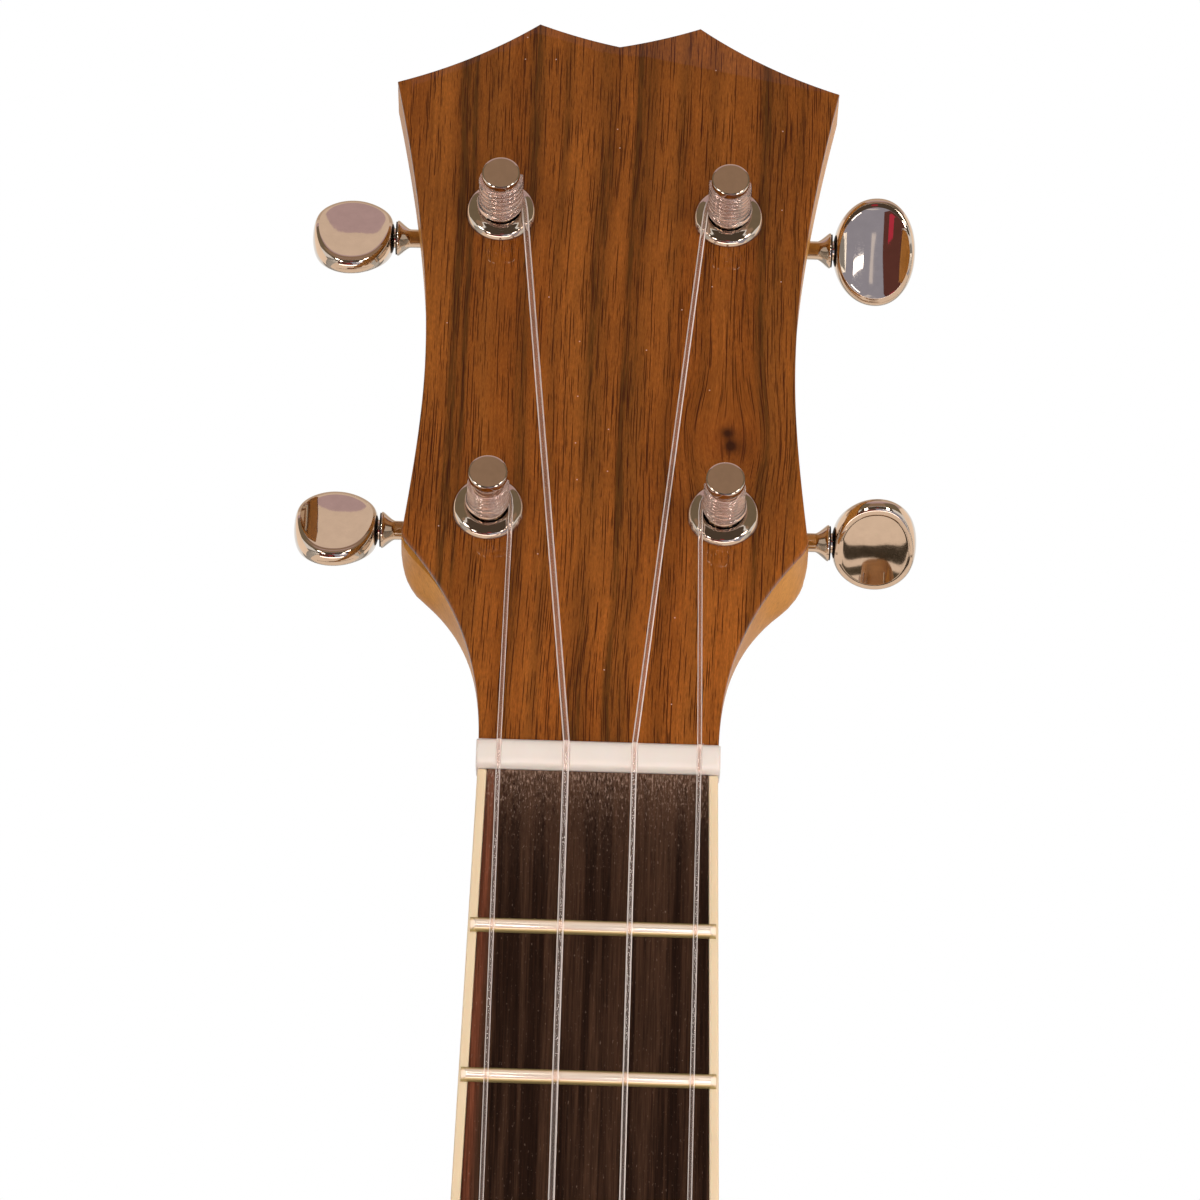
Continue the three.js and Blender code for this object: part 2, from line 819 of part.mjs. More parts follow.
// A two-footed bridge: arched between its feet, thin along the top.
function bridge() {
  const arch = new THREE.Shape();
  const foot = skinFront - 0.05;
  arch.moveTo(-27, foot);
  arch.lineTo(-27, foot - 2.4);
  arch.quadraticCurveTo(-25.5, foot - 6, -21.5, bridgeTop + 2.2);
  arch.lineTo(-20.5, bridgeTop);
  arch.lineTo(20.5, bridgeTop);
  arch.lineTo(21.5, bridgeTop + 2.2);
  arch.quadraticCurveTo(25.5, foot - 6, 27, foot - 2.4);
  arch.lineTo(27, foot);
  arch.lineTo(17, foot);
  arch.quadraticCurveTo(15.5, foot - 5.4, 9, foot - 6);
  arch.lineTo(-9, foot - 6);
  arch.quadraticCurveTo(-15.5, foot - 5.4, -17, foot);
  const outline = arch.getPoints(4);
  const at = (side) =>
    outline.map((p) => {
      const rise = (foot - p.y) / bridgeHeight;
      const z = side * (3.4 - 2.1 * rise);
      return new THREE.Vector3(p.x, p.y, z - scaleLength);
    });
  const body = loft([at(-1), at(1)]);
  const grooves = stringDiameter.map((d, i) => {
    const x = bridgeAcross(i);
    const half = d / 2 + 0.15;
    return block(
      [x - half, x + half],
      [bridgeTop - 1, bridgeTop + 0.65],
      [-scaleLength - 5, -scaleLength + 5],
    );
  });
  return cut(body, ...grooves);
}

const plateBack = -1.2; // of the tailpiece, where the strings enter
const plateThick = 1.5;
const holeAlong = 82; // of those holes, from the pot's centre

// A bent plate, bolted to the rim's tail end, that reaches over the hoop to the strings.
function tailpiece() {
  const spine = [
    [46, 99.8],
    [19, 99.8],
    [15.5, 103.6],
    [12, 107.7],
    [2, 107.7],
    [-0.6, 105.6],
    [plateBack, 100],
    [plateBack, 78],
    [0.6, 75.4],
  ];
  const outwards = spine.map(([y, r], i) => {
    const [y0, r0] = spine[Math.max(i - 1, 0)];
    const [y1, r1] = spine[Math.min(i + 1, spine.length - 1)];
    const length = Math.hypot(y1 - y0, r1 - r0);
    const step = plateThick / length;
    return [y + (r1 - r0) * step, r - (y1 - y0) * step];
  });
  const section = [...spine, ...outwards.reverse()];
  const wide = (x) => section.map(([y, r]) => new THREE.Vector3(x, y, potZ - r));
  const sheet = loft([wide(-19), wide(19)]);
  const waist = plate(
    [
      [-9, potZ - 130],
      [-9, potZ - 108],
      [-19, potZ - 96],
      [-19, potZ - 60],
      [19, potZ - 60],
      [19, potZ - 96],
      [9, potZ - 108],
      [9, potZ - 130],
    ],
    -20,
    11,
  );
  const foot = block([-9, 9], [10.9, 60], [potZ - 130, potZ - 60]);
  const holes = stringDiameter.map((_, i) =>
    rod(0.95, -10, 3, 8).translate([bridgeAcross(i) * 0.97, 0, potZ - holeAlong]),
  );
  const boltHole = alongZ(rod(3.2, -20, 20, 10)).translate([0, rodDepth, potZ - 100]);
  return cut(sheet.intersect(join(waist, foot)), ...holes, boltHole);
}

// The rod across the pot: screwed into the heel at one end and bolted at the tail.
function coordinatorRod() {
  const bar = rod(4.2, -rimInside + 3, rimInside - 6, 12);
  const screw = rod(2.8, rimInside - 7, rimInside + 30, 8);
  const headNut = rod(7.2, rimInside - 6.2, rimInside - 0.6, 6);
  const tailBolt = rod(2.8, -rimRadius - 6, -rimInside + 4, 8);
  const tailHead = rod(6, -rimRadius - 5.8, -rimRadius - 2, 6);
  const tailNut = rod(7.2, -rimInside + 0.6, -rimInside + 4, 6);
  const whole = join(bar, screw, headNut, tailBolt, tailHead, tailNut);
  return fromPot(whole.rotate([90, 0, 0]).translate([0, rodDepth, 0]));
}

// Assembly
const instrument = new THREE.Group();
instrument.position.set(0, -yokeDepth, -yokeAbove);
instrument.add(headstock);
headstock.updateMatrix();

add(instrument, "neck", neck(), maple);
add(instrument, "headstock_veneer", veneer(), walnut);
add(instrument, "fretboard", fretboard(), rosewood);
add(instrument, "fretboard_binding", binding(), cream);
add(instrument, "nut", nut(), bone);
for (const { number, down } of frets())
  add(instrument, `fret_${String(number).padStart(2, "0")}`, fret(down), nickel);

for (const place of posts) {
  const tuner = new THREE.Group();
  tuner.position.set(place.side * postAcross, 0, place.along);
  tuner.scale.x = place.side;
  headstock.add(tuner);
  add(tuner, `tuner_housing_${place.name}`, housing(), chrome);
  add(tuner, `tuner_ferrule_${place.name}`, ferrule(), chrome);
  add(tuner, `tuner_post_${place.name}`, post(), chrome);
  add(tuner, `tuner_button_${place.name}`, button(place.buttonTurn), chrome);
}

for (const place of posts) {
  const number = place.string + 1;
  add(instrument, `string_${number}`, stringSolid(place), nylon);
  console.log(`string ${number} winding: least gap ${leastGap(place).toFixed(2)} mm`);
}

add(instrument, "rim", rim(), maple);
add(instrument, "drum_head", drumHead(), skin);
add(instrument, "tension_hoop", tensionHoop(), chrome);
for (let i = 0; i < hookCount; i++) {
  const name = `bracket_${String(i + 1).padStart(2, "0")}`;
  const mesh = add(instrument, name, bracket(), chrome);
  mesh.position.z = potZ;
  mesh.rotation.y = hookTurn(i);
}
add(instrument, "bridge", bridge(), maple);
add(instrument, "tailpiece", tailpiece(), chrome);
add(instrument, "coordinator_rod", coordinatorRod(), chrome);

export default instrument;
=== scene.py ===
import math
import bpy
import bmesh
from mathutils import Matrix, Vector


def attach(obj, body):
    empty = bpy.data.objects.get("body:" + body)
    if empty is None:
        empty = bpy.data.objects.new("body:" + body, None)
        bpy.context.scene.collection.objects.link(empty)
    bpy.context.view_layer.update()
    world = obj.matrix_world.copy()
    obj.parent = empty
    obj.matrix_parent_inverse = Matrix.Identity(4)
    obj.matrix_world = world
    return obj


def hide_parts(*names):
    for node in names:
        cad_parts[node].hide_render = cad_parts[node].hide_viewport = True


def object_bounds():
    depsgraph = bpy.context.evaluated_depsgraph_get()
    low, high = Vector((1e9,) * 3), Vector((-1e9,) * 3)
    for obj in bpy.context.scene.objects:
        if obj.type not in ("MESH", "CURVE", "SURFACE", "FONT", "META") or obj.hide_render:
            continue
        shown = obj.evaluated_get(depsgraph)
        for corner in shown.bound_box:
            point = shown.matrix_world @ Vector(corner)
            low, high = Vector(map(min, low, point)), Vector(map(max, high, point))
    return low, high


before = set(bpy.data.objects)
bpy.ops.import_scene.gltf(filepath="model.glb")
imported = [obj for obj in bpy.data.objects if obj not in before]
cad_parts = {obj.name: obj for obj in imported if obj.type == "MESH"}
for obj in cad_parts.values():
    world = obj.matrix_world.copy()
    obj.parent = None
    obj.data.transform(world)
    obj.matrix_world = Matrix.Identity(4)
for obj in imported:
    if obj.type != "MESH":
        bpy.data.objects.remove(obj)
cadLow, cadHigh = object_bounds()

# Every piece is drawn in millimetres and then placed by one of these frames. The scale frame has its
# zero at the nut's front edge on the fretboard's face, with +Z up the neck and the front towards -Y.
mm = 0.001
scale = {"length": 426, "nutWidth": 36, "boardTaper": 0.05, "boardThick": 5.4, "frets": 17, "pastLast": 5.6}
head = {"tilt": 14.3, "faceDepth": 2.1, "start": 3.8, "thick": 9.6, "veneer": 1.0}
pot = {"rim": 99.6, "wall": 8, "front": 6.9, "back": 60, "skin": 6.0, "hoopIn": 101.4, "hoopOut": 107.2,
       "hooks": 12, "hookAt": 109.2, "shoe": 31.0, "rod": 34.0, "fromBoard": 0.6}
nutLength = 4.6
postAcross = 18.1
postHeight = 11.0

# side, place up the head, string, the button's turn, and the winding's turns, lowest turn and gap
tuners = [
    {"body": "upper_left", "side": -1, "along": 97.1, "string": 1, "turn": -54.4, "wound": (6, 2.15, 0.14)},
    {"body": "upper_right", "side": 1, "along": 97.1, "string": 2, "turn": 4, "wound": (7, 2.1, 0.13)},
    {"body": "lower_left", "side": -1, "along": 41.8, "string": 0, "turn": -58, "wound": (6, 2.3, 0.15)},
    {"body": "lower_right", "side": 1, "along": 41.8, "string": 3, "turn": 36, "wound": (7, 2.3, 0.16)},
]


def fretAt(number):
    return scale["length"] * (1 - 2 ** (-number / 12))


def halfWidth(down):
    return (scale["nutWidth"] + scale["boardTaper"] * down) / 2


def shift(x, y, z):
    return Matrix.Translation((x, y, z))


def turned(degrees, axis):
    return Matrix.Rotation(math.radians(degrees), 4, axis)


boardEnd = fretAt(scale["frets"]) + scale["pastLast"]
potDown = boardEnd + pot["fromBoard"] + pot["hoopOut"]
tilt = math.radians(head["tilt"])
scaleFrame = shift(0, -12, -24)
headFrame = scaleFrame @ shift(0, head["faceDepth"], head["start"]) @ turned(-head["tilt"], "X")
potFrame = scaleFrame @ shift(0, 0, -potDown)
towardsX = turned(-90, "Z")
towardsZ = turned(90, "X")


# Shapes: a pair of points and faces

def skin(rings, capped=True):
    count = len(rings[0])
    points = [p for ring in rings for p in ring]
    faces = []
    for r in range(len(rings) - 1):
        for i in range(count):
            j = (i + 1) % count
            faces.append((r * count + i, r * count + j, (r + 1) * count + j, (r + 1) * count + i))
    if capped:
        faces.append(tuple(reversed(range(count))))
        faces.append(tuple((len(rings) - 1) * count + i for i in range(count)))
    return points, faces


def turns(count, whole=2 * math.pi):
    return [whole * k / count for k in range(count)]


def ringAt(radius, height, count):
    return [(radius * math.sin(t), height, radius * math.cos(t)) for t in turns(count)]


def spun(profile, segments, closed=False):
    # a profile of (radius, height) pairs turned about Y
    outline = list(profile) + ([profile[0]] if closed else [])
    return skin([ringAt(radius, height, segments) for radius, height in outline], False)


def bezier(controls, steps):
    found = []
    for k in range(steps + 1):
        row = [Vector(c) for c in controls]
        while len(row) > 1:
            row = [a.lerp(b, k / steps) for a, b in zip(row, row[1:])]
        found.append(tuple(row[0]))
    return found


def rounded(corners, radii, steps=4):
    # a closed outline with its corners rounded off
    outline = []
    for i, (corner, radius) in enumerate(zip(corners, radii)):
        here = Vector(corner)
        before = Vector(corners[i - 1]) - here
        after = Vector(corners[(i + 1) % len(corners)]) - here
        if radius == 0:
            outline.append(tuple(here))
            continue
        cutBack = min(radius, before.length * 0.49, after.length * 0.49)
        start = here + before.normalized() * cutBack
        end = here + after.normalized() * cutBack
        outline += bezier([start, here, end], steps)
    return outline


def raised(by, *pairs):
    # a stretch of profile whose heights are given from one level
    return [(radius, by + height) for radius, height in pairs]


def rod(radius, low, high, segments=48, edge=0.0):
    profile = [(0, low), (radius - edge, low), (radius, low + edge)]
    profile += [(radius, high - edge), (radius - edge, high), (0, high)]
    return spun(profile, segments)


def hexNut(radius, levels):
    # levels of (height, inset)
    return skin([ringAt(radius - inset, height, 6) for height, inset in levels])


def block(xs, ys, zs):
    points = [(x, y, z) for x in xs for y in ys for z in zs]
    faces = [(0, 1, 3, 2), (4, 6, 7, 5), (0, 4, 5, 1), (2, 3, 7, 6), (0, 2, 6, 4), (1, 5, 7, 3)]
    return points, faces


def moved(shape, where):
    return [tuple(where @ Vector(p)) for p in shape[0]], shape[1]


def together(*shapes):
    points, faces = [], []
    for shapePoints, shapeFaces in shapes:
        first = len(points)
        points += shapePoints
        faces += [tuple(first + i for i in face) for face in shapeFaces]
    return points, faces


def insetOutline(outline, amount):
    if amount == 0:
        return list(outline)
    area = sum(a[0] * b[1] - b[0] * a[1] for a, b in zip(outline, outline[1:] + outline[:1]))
    turn = math.copysign(1, area)
    inner = []
    for i, here in enumerate(outline):
        before, after = Vector(outline[i - 1]), Vector(outline[(i + 1) % len(outline)])
        first = (Vector(here) - before).normalized()
        second = (after - Vector(here)).normalized()
        normal = Vector((-first.y - second.y, first.x + second.x)).normalized() * turn
        reach = amount / max(0.35, normal.dot(Vector((-second.y, second.x)) * turn))
        inner.append((here[0] + normal.x * reach, here[1] + normal.y * reach))
    return inner


def slab(outline, levels):
    # an outline in X and Z given its thickness by (depth, inset) levels
    return skin([[(x, y, z) for x, z in insetOutline(outline, inset)] for y, inset in levels])


def mirrored(half):
    # the other half of an outline of (across, along) pairs
    return half + [(-x, z) for x, z in reversed(half)]


def smoothStep(value, low, high):
    t = min(1.0, max(0.0, (value - low) / (high - low)))
    return t * t * (3 - 2 * t)


# Pieces: a mesh object at the origin, its place in its mesh

def newObject(name, points=(), edges=(), faces=()):
    mesh = bpy.data.meshes.new(name)
    mesh.from_pydata(points, edges, faces)
    made = bpy.data.objects.new(name, mesh)
    bpy.context.scene.collection.objects.link(made)
    return made


def placed(points, where):
    return [(where @ Vector(p)) * mm for p in points]


def makePiece(name, shape, where=scaleFrame, sharp=32):
    piece = newObject(name, placed(shape[0], where), faces=shape[1])
    build = bmesh.new()
    build.from_mesh(piece.data)
    bmesh.ops.remove_doubles(build, verts=build.verts, dist=0.002 * mm)
    bmesh.ops.recalc_face_normals(build, faces=build.faces)
    build.to_mesh(piece.data)
    build.free()
    smooth(piece, sharp)
    return piece


def smooth(piece, sharp):
    piece.data.shade_smooth()
    piece.data.set_sharp_from_angle(angle=math.radians(sharp))


def settle(piece, sharp=32):
    # turns what the modifiers make into the piece's own mesh
    graph = bpy.context.evaluated_depsgraph_get()
    made = bpy.data.meshes.new_from_object(piece.evaluated_get(graph))
    piece.modifiers.clear()
    piece.data = made
    smooth(piece, sharp)


def cutWith(piece, shapes, where=scaleFrame, operation="DIFFERENCE"):
    tools = [makePiece("cutter", shape, where) for shape in shapes]
    for tool in tools:
        step = piece.modifiers.new("Cut", "BOOLEAN")
        step.operation = operation
        step.solver = "MANIFOLD"
        step.object = tool
    settle(piece)
    for tool in tools:
        bpy.data.objects.remove(tool)


def bevelled(piece, width, segments=3, angle=30):
    step = piece.modifiers.new("Edges", "BEVEL")
    step.width = width * mm
    step.segments = segments
    step.limit_method = "ANGLE"
    step.angle_limit = math.radians(angle)
    settle(piece, 40)


def dress(piece, finish, slot, *nodes, body="instrument"):
    piece.data.materials.clear()
    piece.data.materials.append(finish)
    for face in piece.data.polygons:
        face.material_index = 0
    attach(piece, body)
    if nodes:
        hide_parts(*nodes)


# Node trees, for shapes and for finishes

class Field:
    # one output of a node: each arithmetic sign used on it adds a Math node
    def __init__(self, tree, socket):
        self.tree = tree
        self.socket = socket

    def math(self, operation, other=0.0, clamp=False):
        return addNode(self.tree, "ShaderNodeMath", {0: self, 1: other}, operation=operation, use_clamp=clamp)

    def __add__(self, other):
        return self.math("ADD", other)

    __radd__ = __add__

    def __sub__(self, other):
        return self.math("SUBTRACT", other)

    def __rsub__(self, other):
        return addNode(self.tree, "ShaderNodeMath", {0: other, 1: self}, operation="SUBTRACT")

    def __mul__(self, other):
        return self.math("MULTIPLY", other)

    def __truediv__(self, other):
        return self.math("DIVIDE", other)


def addNode(tree, kind, inputs=None, outs=(0,), **settings):
    node = tree.nodes.new(kind)
    for key, value in settings.items():
        setattr(node, key, value)
    for key, value in (inputs or {}).items():
        if isinstance(value, Field):
            tree.links.new(value.socket, node.inputs[key])
        else:
            node.inputs[key].default_value = value
    found = [Field(tree, node.outputs[key]) for key in outs]
    return found if len(found) > 1 else found[0]


def newTree(name, *sockets):
    # a Geometry Nodes tree, and its named inputs as fields
    tree = bpy.data.node_groups.new(name, "GeometryNodeTree")
    for label, kind in (("Geometry", "Geometry"), ("Finish", "Material"), *sockets):
        tree.interface.new_socket(label, in_out="INPUT", socket_type="NodeSocket" + kind)
    tree.interface.new_socket("Geometry", in_out="OUTPUT", socket_type="NodeSocketGeometry")
    start = tree.nodes.new("NodeGroupInput")
    return tree, {socket.name: Field(tree, socket) for socket in start.outputs if socket.name}


def copies(tree, given, points, **inputs):
    # one copy of the source piece on every point
    source = addNode(tree, "GeometryNodeObjectInfo", {"Object": given["Source"]}, ("Geometry",))
    return addNode(tree, "GeometryNodeInstanceOnPoints", {"Points": points, "Instance": source, **inputs})


def endTree(tree, given, geometry):
    real = addNode(tree, "GeometryNodeRealizeInstances", {0: geometry})
    if "Place" in given:
        real = addNode(tree, "GeometryNodeTransform", {"Geometry": real, "Translation": given["Place"]})
    painted = addNode(tree, "GeometryNodeSetMaterial", {"Geometry": real, "Material": given["Finish"]})
    tree.links.new(painted.socket, tree.nodes.new("NodeGroupOutput").inputs[0])
    return tree


def runTree(piece, tree, values, sharp=32):
    step = piece.modifiers.new("Build", "NODES")
    step.node_group = tree
    for item in tree.interface.items_tree:
        if item.item_type == "SOCKET" and item.in_out == "INPUT" and item.name in values:
            step[item.identifier] = values[item.name]
    settle(piece, sharp)
    if "Source" in values:
        bpy.data.objects.remove(values["Source"])


def copiesTree():
    tree, given = newTree("copiesOnPoints", ("Source", "Object"))
    points = addNode(tree, "GeometryNodeMeshToPoints", {"Mesh": given["Geometry"]})
    return endTree(tree, given, copies(tree, given, points))


copiesOnPoints = copiesTree()


def copiesAt(name, shape, where, places, finish, sharp=32):
    # the source is turned as its frame is, and moved to each of the places
    source = makePiece(name + "Source", shape, where.to_3x3().to_4x4(), sharp)
    carrier = newObject(name, placed(places, where))
    runTree(carrier, copiesOnPoints, {"Source": source, "Finish": finish}, sharp)
    return carrier


# Finishes

def newFinish(name, **values):
    # the words of a value's name are those of the shader's input
    finish = bpy.data.materials.new(name)
    finish.use_nodes = True
    shader = finish.node_tree.nodes["Principled BSDF"]
    for key, value in values.items():
        label = "".join(" " + c if c.isupper() else c for c in key).title()
        label = {"Ior": "IOR", "Specular Level": "Specular IOR Level"}.get(label, label)
        shader.inputs[label].default_value = value
    return finish, shader


def inMillimetres(finish, offset=(0, 0, 0)):
    tree = finish.node_tree
    place = addNode(tree, "ShaderNodeTexCoord", outs=("Object",))
    return addNode(tree, "ShaderNodeMapping", {"Vector": place, "Scale": (1 / mm,) * 3, "Location": offset})


def attribute(finish, name):
    return addNode(finish.node_tree, "ShaderNodeAttribute", outs=("Fac",), attribute_name=name)


def parts(vector):
    return addNode(vector.tree, "ShaderNodeSeparateXYZ", {0: vector}, (0, 1, 2))


def joined(first, second, third):
    return addNode(first.tree, "ShaderNodeCombineXYZ", {0: first, 1: second, 2: third})


def noise(vector, size, detail=2.0, rough=0.5, bend=0.0):
    # the size is one number, or three for a pattern drawn out along an axis
    if isinstance(size, tuple):
        vector = addNode(vector.tree, "ShaderNodeMapping", {"Vector": vector, "Scale": size})
        size = 1.0
    inputs = {"Vector": vector, "Scale": size, "Detail": detail, "Roughness": rough, "Distortion": bend}
    return addNode(vector.tree, "ShaderNodeTexNoise", inputs, ("Fac",))


def ramp(value, *stops):
    colour = addNode(value.tree, "ShaderNodeValToRGB", {0: value}, ("Color",))
    elements = colour.socket.node.color_ramp.elements
    elements.remove(elements[0])
    for i, (at, tone) in enumerate(stops):
        spot = elements[0] if i == 0 else elements.new(at)
        spot.position = at
        spot.color = (*tone, 1) if isinstance(tone, tuple) else (tone, tone, tone, 1)
    return colour


def mixed(amount, first, second, kind="MIX"):
    tree = next(f.tree for f in (amount, first) if isinstance(f, Field))
    first, second = [(*c, 1) if isinstance(c, tuple) else c for c in (first, second)]
    return addNode(tree, "ShaderNodeMix", {0: amount, 6: first, 7: second}, (2,), data_type="RGBA",
                   blend_type=kind)


def shaded(base, value, dark, light):
    # darker where the value is low and lighter where it is high
    return mixed(1.0, base, ramp(value, dark, light), "MULTIPLY")


def connect(field, shader, socket="Base Color"):
    field.tree.links.new(field.socket, shader.inputs[socket])


def relief(shader, height, strength, distance):
    inputs = {"Height": height, "Strength": strength, "Distance": distance * mm}
    connect(addNode(height.tree, "ShaderNodeBump", inputs), shader, "Normal")


def hump(value, centre, width):
    # 1 at the centre, falling away smoothly on both sides
    away = (value - centre) / width
    return (away * away * -1.0).math("EXPONENT")


def dashes(vector, across, along, reach, keep):
    # crisp marks drawn out along the grain, one for each cell that is kept
    x, _, z = parts(vector)
    cells = {"Vector": joined(x * (1 / across), z * (1 / along), 0.0), "Scale": 1.0}
    distance, colour = addNode(
        vector.tree, "ShaderNodeTexVoronoi", cells, ("Distance", "Color"), voronoi_dimensions="2D"
    )
    mark = ramp(distance, (reach * 0.55, 1.0), (reach, 0.0))
    return mark * parts(colour)[0].math("LESS_THAN", keep)


def walnutFinish():
    look = {
        "light": (0.262, 0.078, 0.0115),
        "warm": (0.200, 0.054, 0.0070),
        "band": (0.052, 0.019, 0.0030),
        "pore": (0.040, 0.0075, 0.0012),
        "halo": (0.22, 0.050, 0.007),
        "knot": (0.022, 0.005, 0.0014),
        "speck": (0.62, 0.42, 0.34),
        "knotAt": (18.6, 34.0),
        # place across the head, width and depth
        "bands": [(-25.6, 0.8, 1.0), (-23.9, 0.5, 0.8), (-21.0, 1.4, 0.3), (-14.4, 1.1, 0.75),
                  (-9.6, 0.8, 0.4), (-3.2, 1.7, 0.6), (1.6, 0.55, 0.9), (3.4, 1.6, 0.45), (9.0, 1.2, 0.35),
                  (14.2, 0.9, 0.3), (22.6, 0.9, 0.8), (24.6, 1.3, 0.5), (28.0, 0.8, 0.4)],
    }
    finish, shader = newFinish(
        "lacqueredWalnut", roughness=0.55, specularLevel=0.0, coatWeight=0.62, coatRoughness=0.015
    )
    q = inMillimetres(finish)
    x, _, z = parts(q)
    dx, dz = x - look["knotAt"][0], z - look["knotAt"][1]

    def spot(across, along, wide, high):
        return hump(dx, across, wide) * hump(dz, along, high)

    # the grain runs up the head, wanders a little, and parts round the knot
    around = spot(0.0, 0.0, 6.0, 8.5)
    wander = noise(q, (0.03, 0.02, 0.016), 1.0) - 0.5
    grainX = x + wander * 3.4 + (dx * around * -0.62 + z * -0.012)
    grain = joined(grainX, 0.0, z + around * 7.0)
    broad = noise(grain, (0.16, 1, 0.010), 3.0, 0.55)
    fibre = noise(grain, (1.5, 1, 0.030), 3.0, 0.65)
    fine = noise(grain, (3.4, 1, 0.13), 3.0, 0.7)
    figure = noise(q, (0.07, 0.05, 0.05), 3.0, 0.6)
    ticks = noise(grain, (6.5, 1, 1.1), 2.0, 0.6)
    base = mixed(ramp(broad, (0.38, 0.0), (0.62, 1.0)), look["light"], look["warm"])
    base = shaded(base, fibre, (0.3, 0.86), (0.7, 1.10))
    base = shaded(base, fine, (0.3, 0.74), (0.7, 1.22))
    base = shaded(base, figure, (0.3, 0.86), (0.7, 1.12))
    base = shaded(base, ticks, (0.32, 0.76), (0.68, 1.24))
    slow = ramp(z * (1 / 130) + 0.15, (0.0, 0.66), (0.35, 0.58), (0.65, 0.535), (1.0, 0.50))
    base = mixed(1.0, base, slow * 1.8, "MULTIPLY")
    # soft darker bands at their own places across the head, coming and going along it
    total = sum(hump(grainX, at, width) * depth for at, width, depth in look["bands"])
    patch = noise(grain, (0.22, 1, 0.028), 2.0, 0.6)
    threads = ramp(fibre, (0.38, 0.5), (0.56, 1.0)) * ramp(fine, (0.40, 0.45), (0.56, 1.35))
    fading = ramp(patch, (0.34, 0.3), (0.56, 1.0)) * threads
    band = (total * 1.5).math("MULTIPLY", fading, True)
    base = mixed(band * 0.86, base, look["band"])
    # open pores, crowded in and beside the bands
    crowd = ramp(noise(grain, (0.34, 1, 0.020), 2.0, 0.55), (0.40, 0.28), (0.62, 0.95)) + band * 0.8
    pores = dashes(grain, 0.50, 34.0, 0.21, crowd).math("MAXIMUM", dashes(grain, 0.44, 17.0213, 0.21, crowd))
    pores = pores.math("MAXIMUM", dashes(grain, 0.40, 6.0, 0.20, crowd) * 0.7)
    base = mixed(pores * 0.95, base, look["pore"])
    # the knot: a dark eye, a smaller one under it, a shadow beside them and a warm halo
    base = mixed(spot(-0.6, -0.6, 4.4, 4.2) * 0.45, base, look["halo"])
    eyes = spot(-0.1, 0.9, 1.15, 1.1) + spot(0.35, -1.4, 0.95, 1.0) * 0.9
    dark = eyes.math("ADD", spot(1.6, -1.6, 2.2, 2.2) * 0.5, True)
    base = mixed(dark * 0.95, base, look["knot"])
    # a few grains of dust on the lacquer
    base = mixed(dashes(q, 5.2, 5.2, 0.024, 0.12) * 0.8, base, look["speck"])
    connect(base, shader)
    relief(shader, pores * -1.0, 0.15, 0.05)
    return finish


def mapleFinish(name, along, tone=(0.565, 0.250, 0.050), deep=(0.455, 0.182, 0.032)):
    # pale close-grained wood under clear lacquer, its grain along one axis
    finish, shader = newFinish(name, roughness=0.5, specularLevel=0.1, coatWeight=0.13, coatRoughness=0.15)
    q = inMillimetres(finish)

    def drawnOut(size, share):
        return tuple(size * share if axis == along else size for axis in range(3))

    broad = noise(q, drawnOut(0.16, 0.05), 3.0, 0.55, 0.4)
    fine = noise(q, drawnOut(2.6, 0.05), 3.0, 0.6)
    flecks = noise(q, drawnOut(1.5, 0.35), 1.0)
    base = mixed(ramp(broad, (0.35, 0.0), (0.68, 1.0)), tone, deep)
    base = shaded(base, fine, (0.3, 0.86), (0.7, 1.10))
    base = mixed(ramp(flecks, (0.64, 0.0), (0.72, 1.0)) * 0.35, base, tuple(0.55 * c for c in deep))
    connect(base, shader)
    relief(shader, fine, 0.05, 0.05)
    return finish


def rosewoodFinish():
    look = {
        "brown": (0.034, 0.0156, 0.0086),
        "dark": (0.0115, 0.0046, 0.0024),
        "red": (0.150, 0.042, 0.0200),
        "worn": (0.110, 0.060, 0.039),
        "speck": (0.42, 0.28, 0.22),
    }
    finish, shader = newFinish("oiledRosewood", roughness=0.5, specularLevel=0.03)
    q = inMillimetres(finish)
    x, _, z = parts(q)
    stripes = noise(q, (0.42, 0.5, 0.009), 4.0, 0.62)
    fine = noise(q, (3.2, 2, 0.09), 3.0, 0.6)
    grain = noise(q, (6.0, 2, 0.35), 2.0, 0.6)
    base = mixed(ramp(stripes, (0.42, 0.0), (0.56, 1.0)), look["brown"], look["dark"])
    edge = hump(x - z * 0.025, -15.3, 0.8) * ramp(stripes, (0.3, 1.0), (0.7, 0.4))
    base = mixed(edge * 0.85, base, look["red"])
    base = shaded(base, fine, (0.3, 0.52), (0.7, 1.56))
    base = shaded(base, grain, (0.3, 0.82), (0.7, 1.2))
    # dry and worn by the nut, in short streaks that thin out down the board
    near = ramp((z - scaleFrame.translation.z) * -0.05,
                (0.0, 0.86), (0.16, 0.56), (0.42, 0.17), (0.80, 0.04), (1.0, 0.0))
    streaks = noise(q, (2.6, 2, 0.85), 4.0, 0.75)
    base = mixed(near * ramp(streaks, (0.38, 0.05), (0.60, 1.0)), base, look["worn"])
    bright = noise(q, (3.6, 2, 1.1), 4.0, 0.72) + near * 0.16
    base = mixed(ramp(bright, (0.62, 0.0), (0.82, 1.0)) * 0.80, base, look["speck"])
    connect(base, shader)
    relief(shader, dashes(q, 0.5, 9.0, 0.18, 0.5) * -1.0, 0.35, 0.1)
    connect(ramp(fine, (0.3, 0.42), (0.7, 0.56)), shader, "Roughness")
    return finish


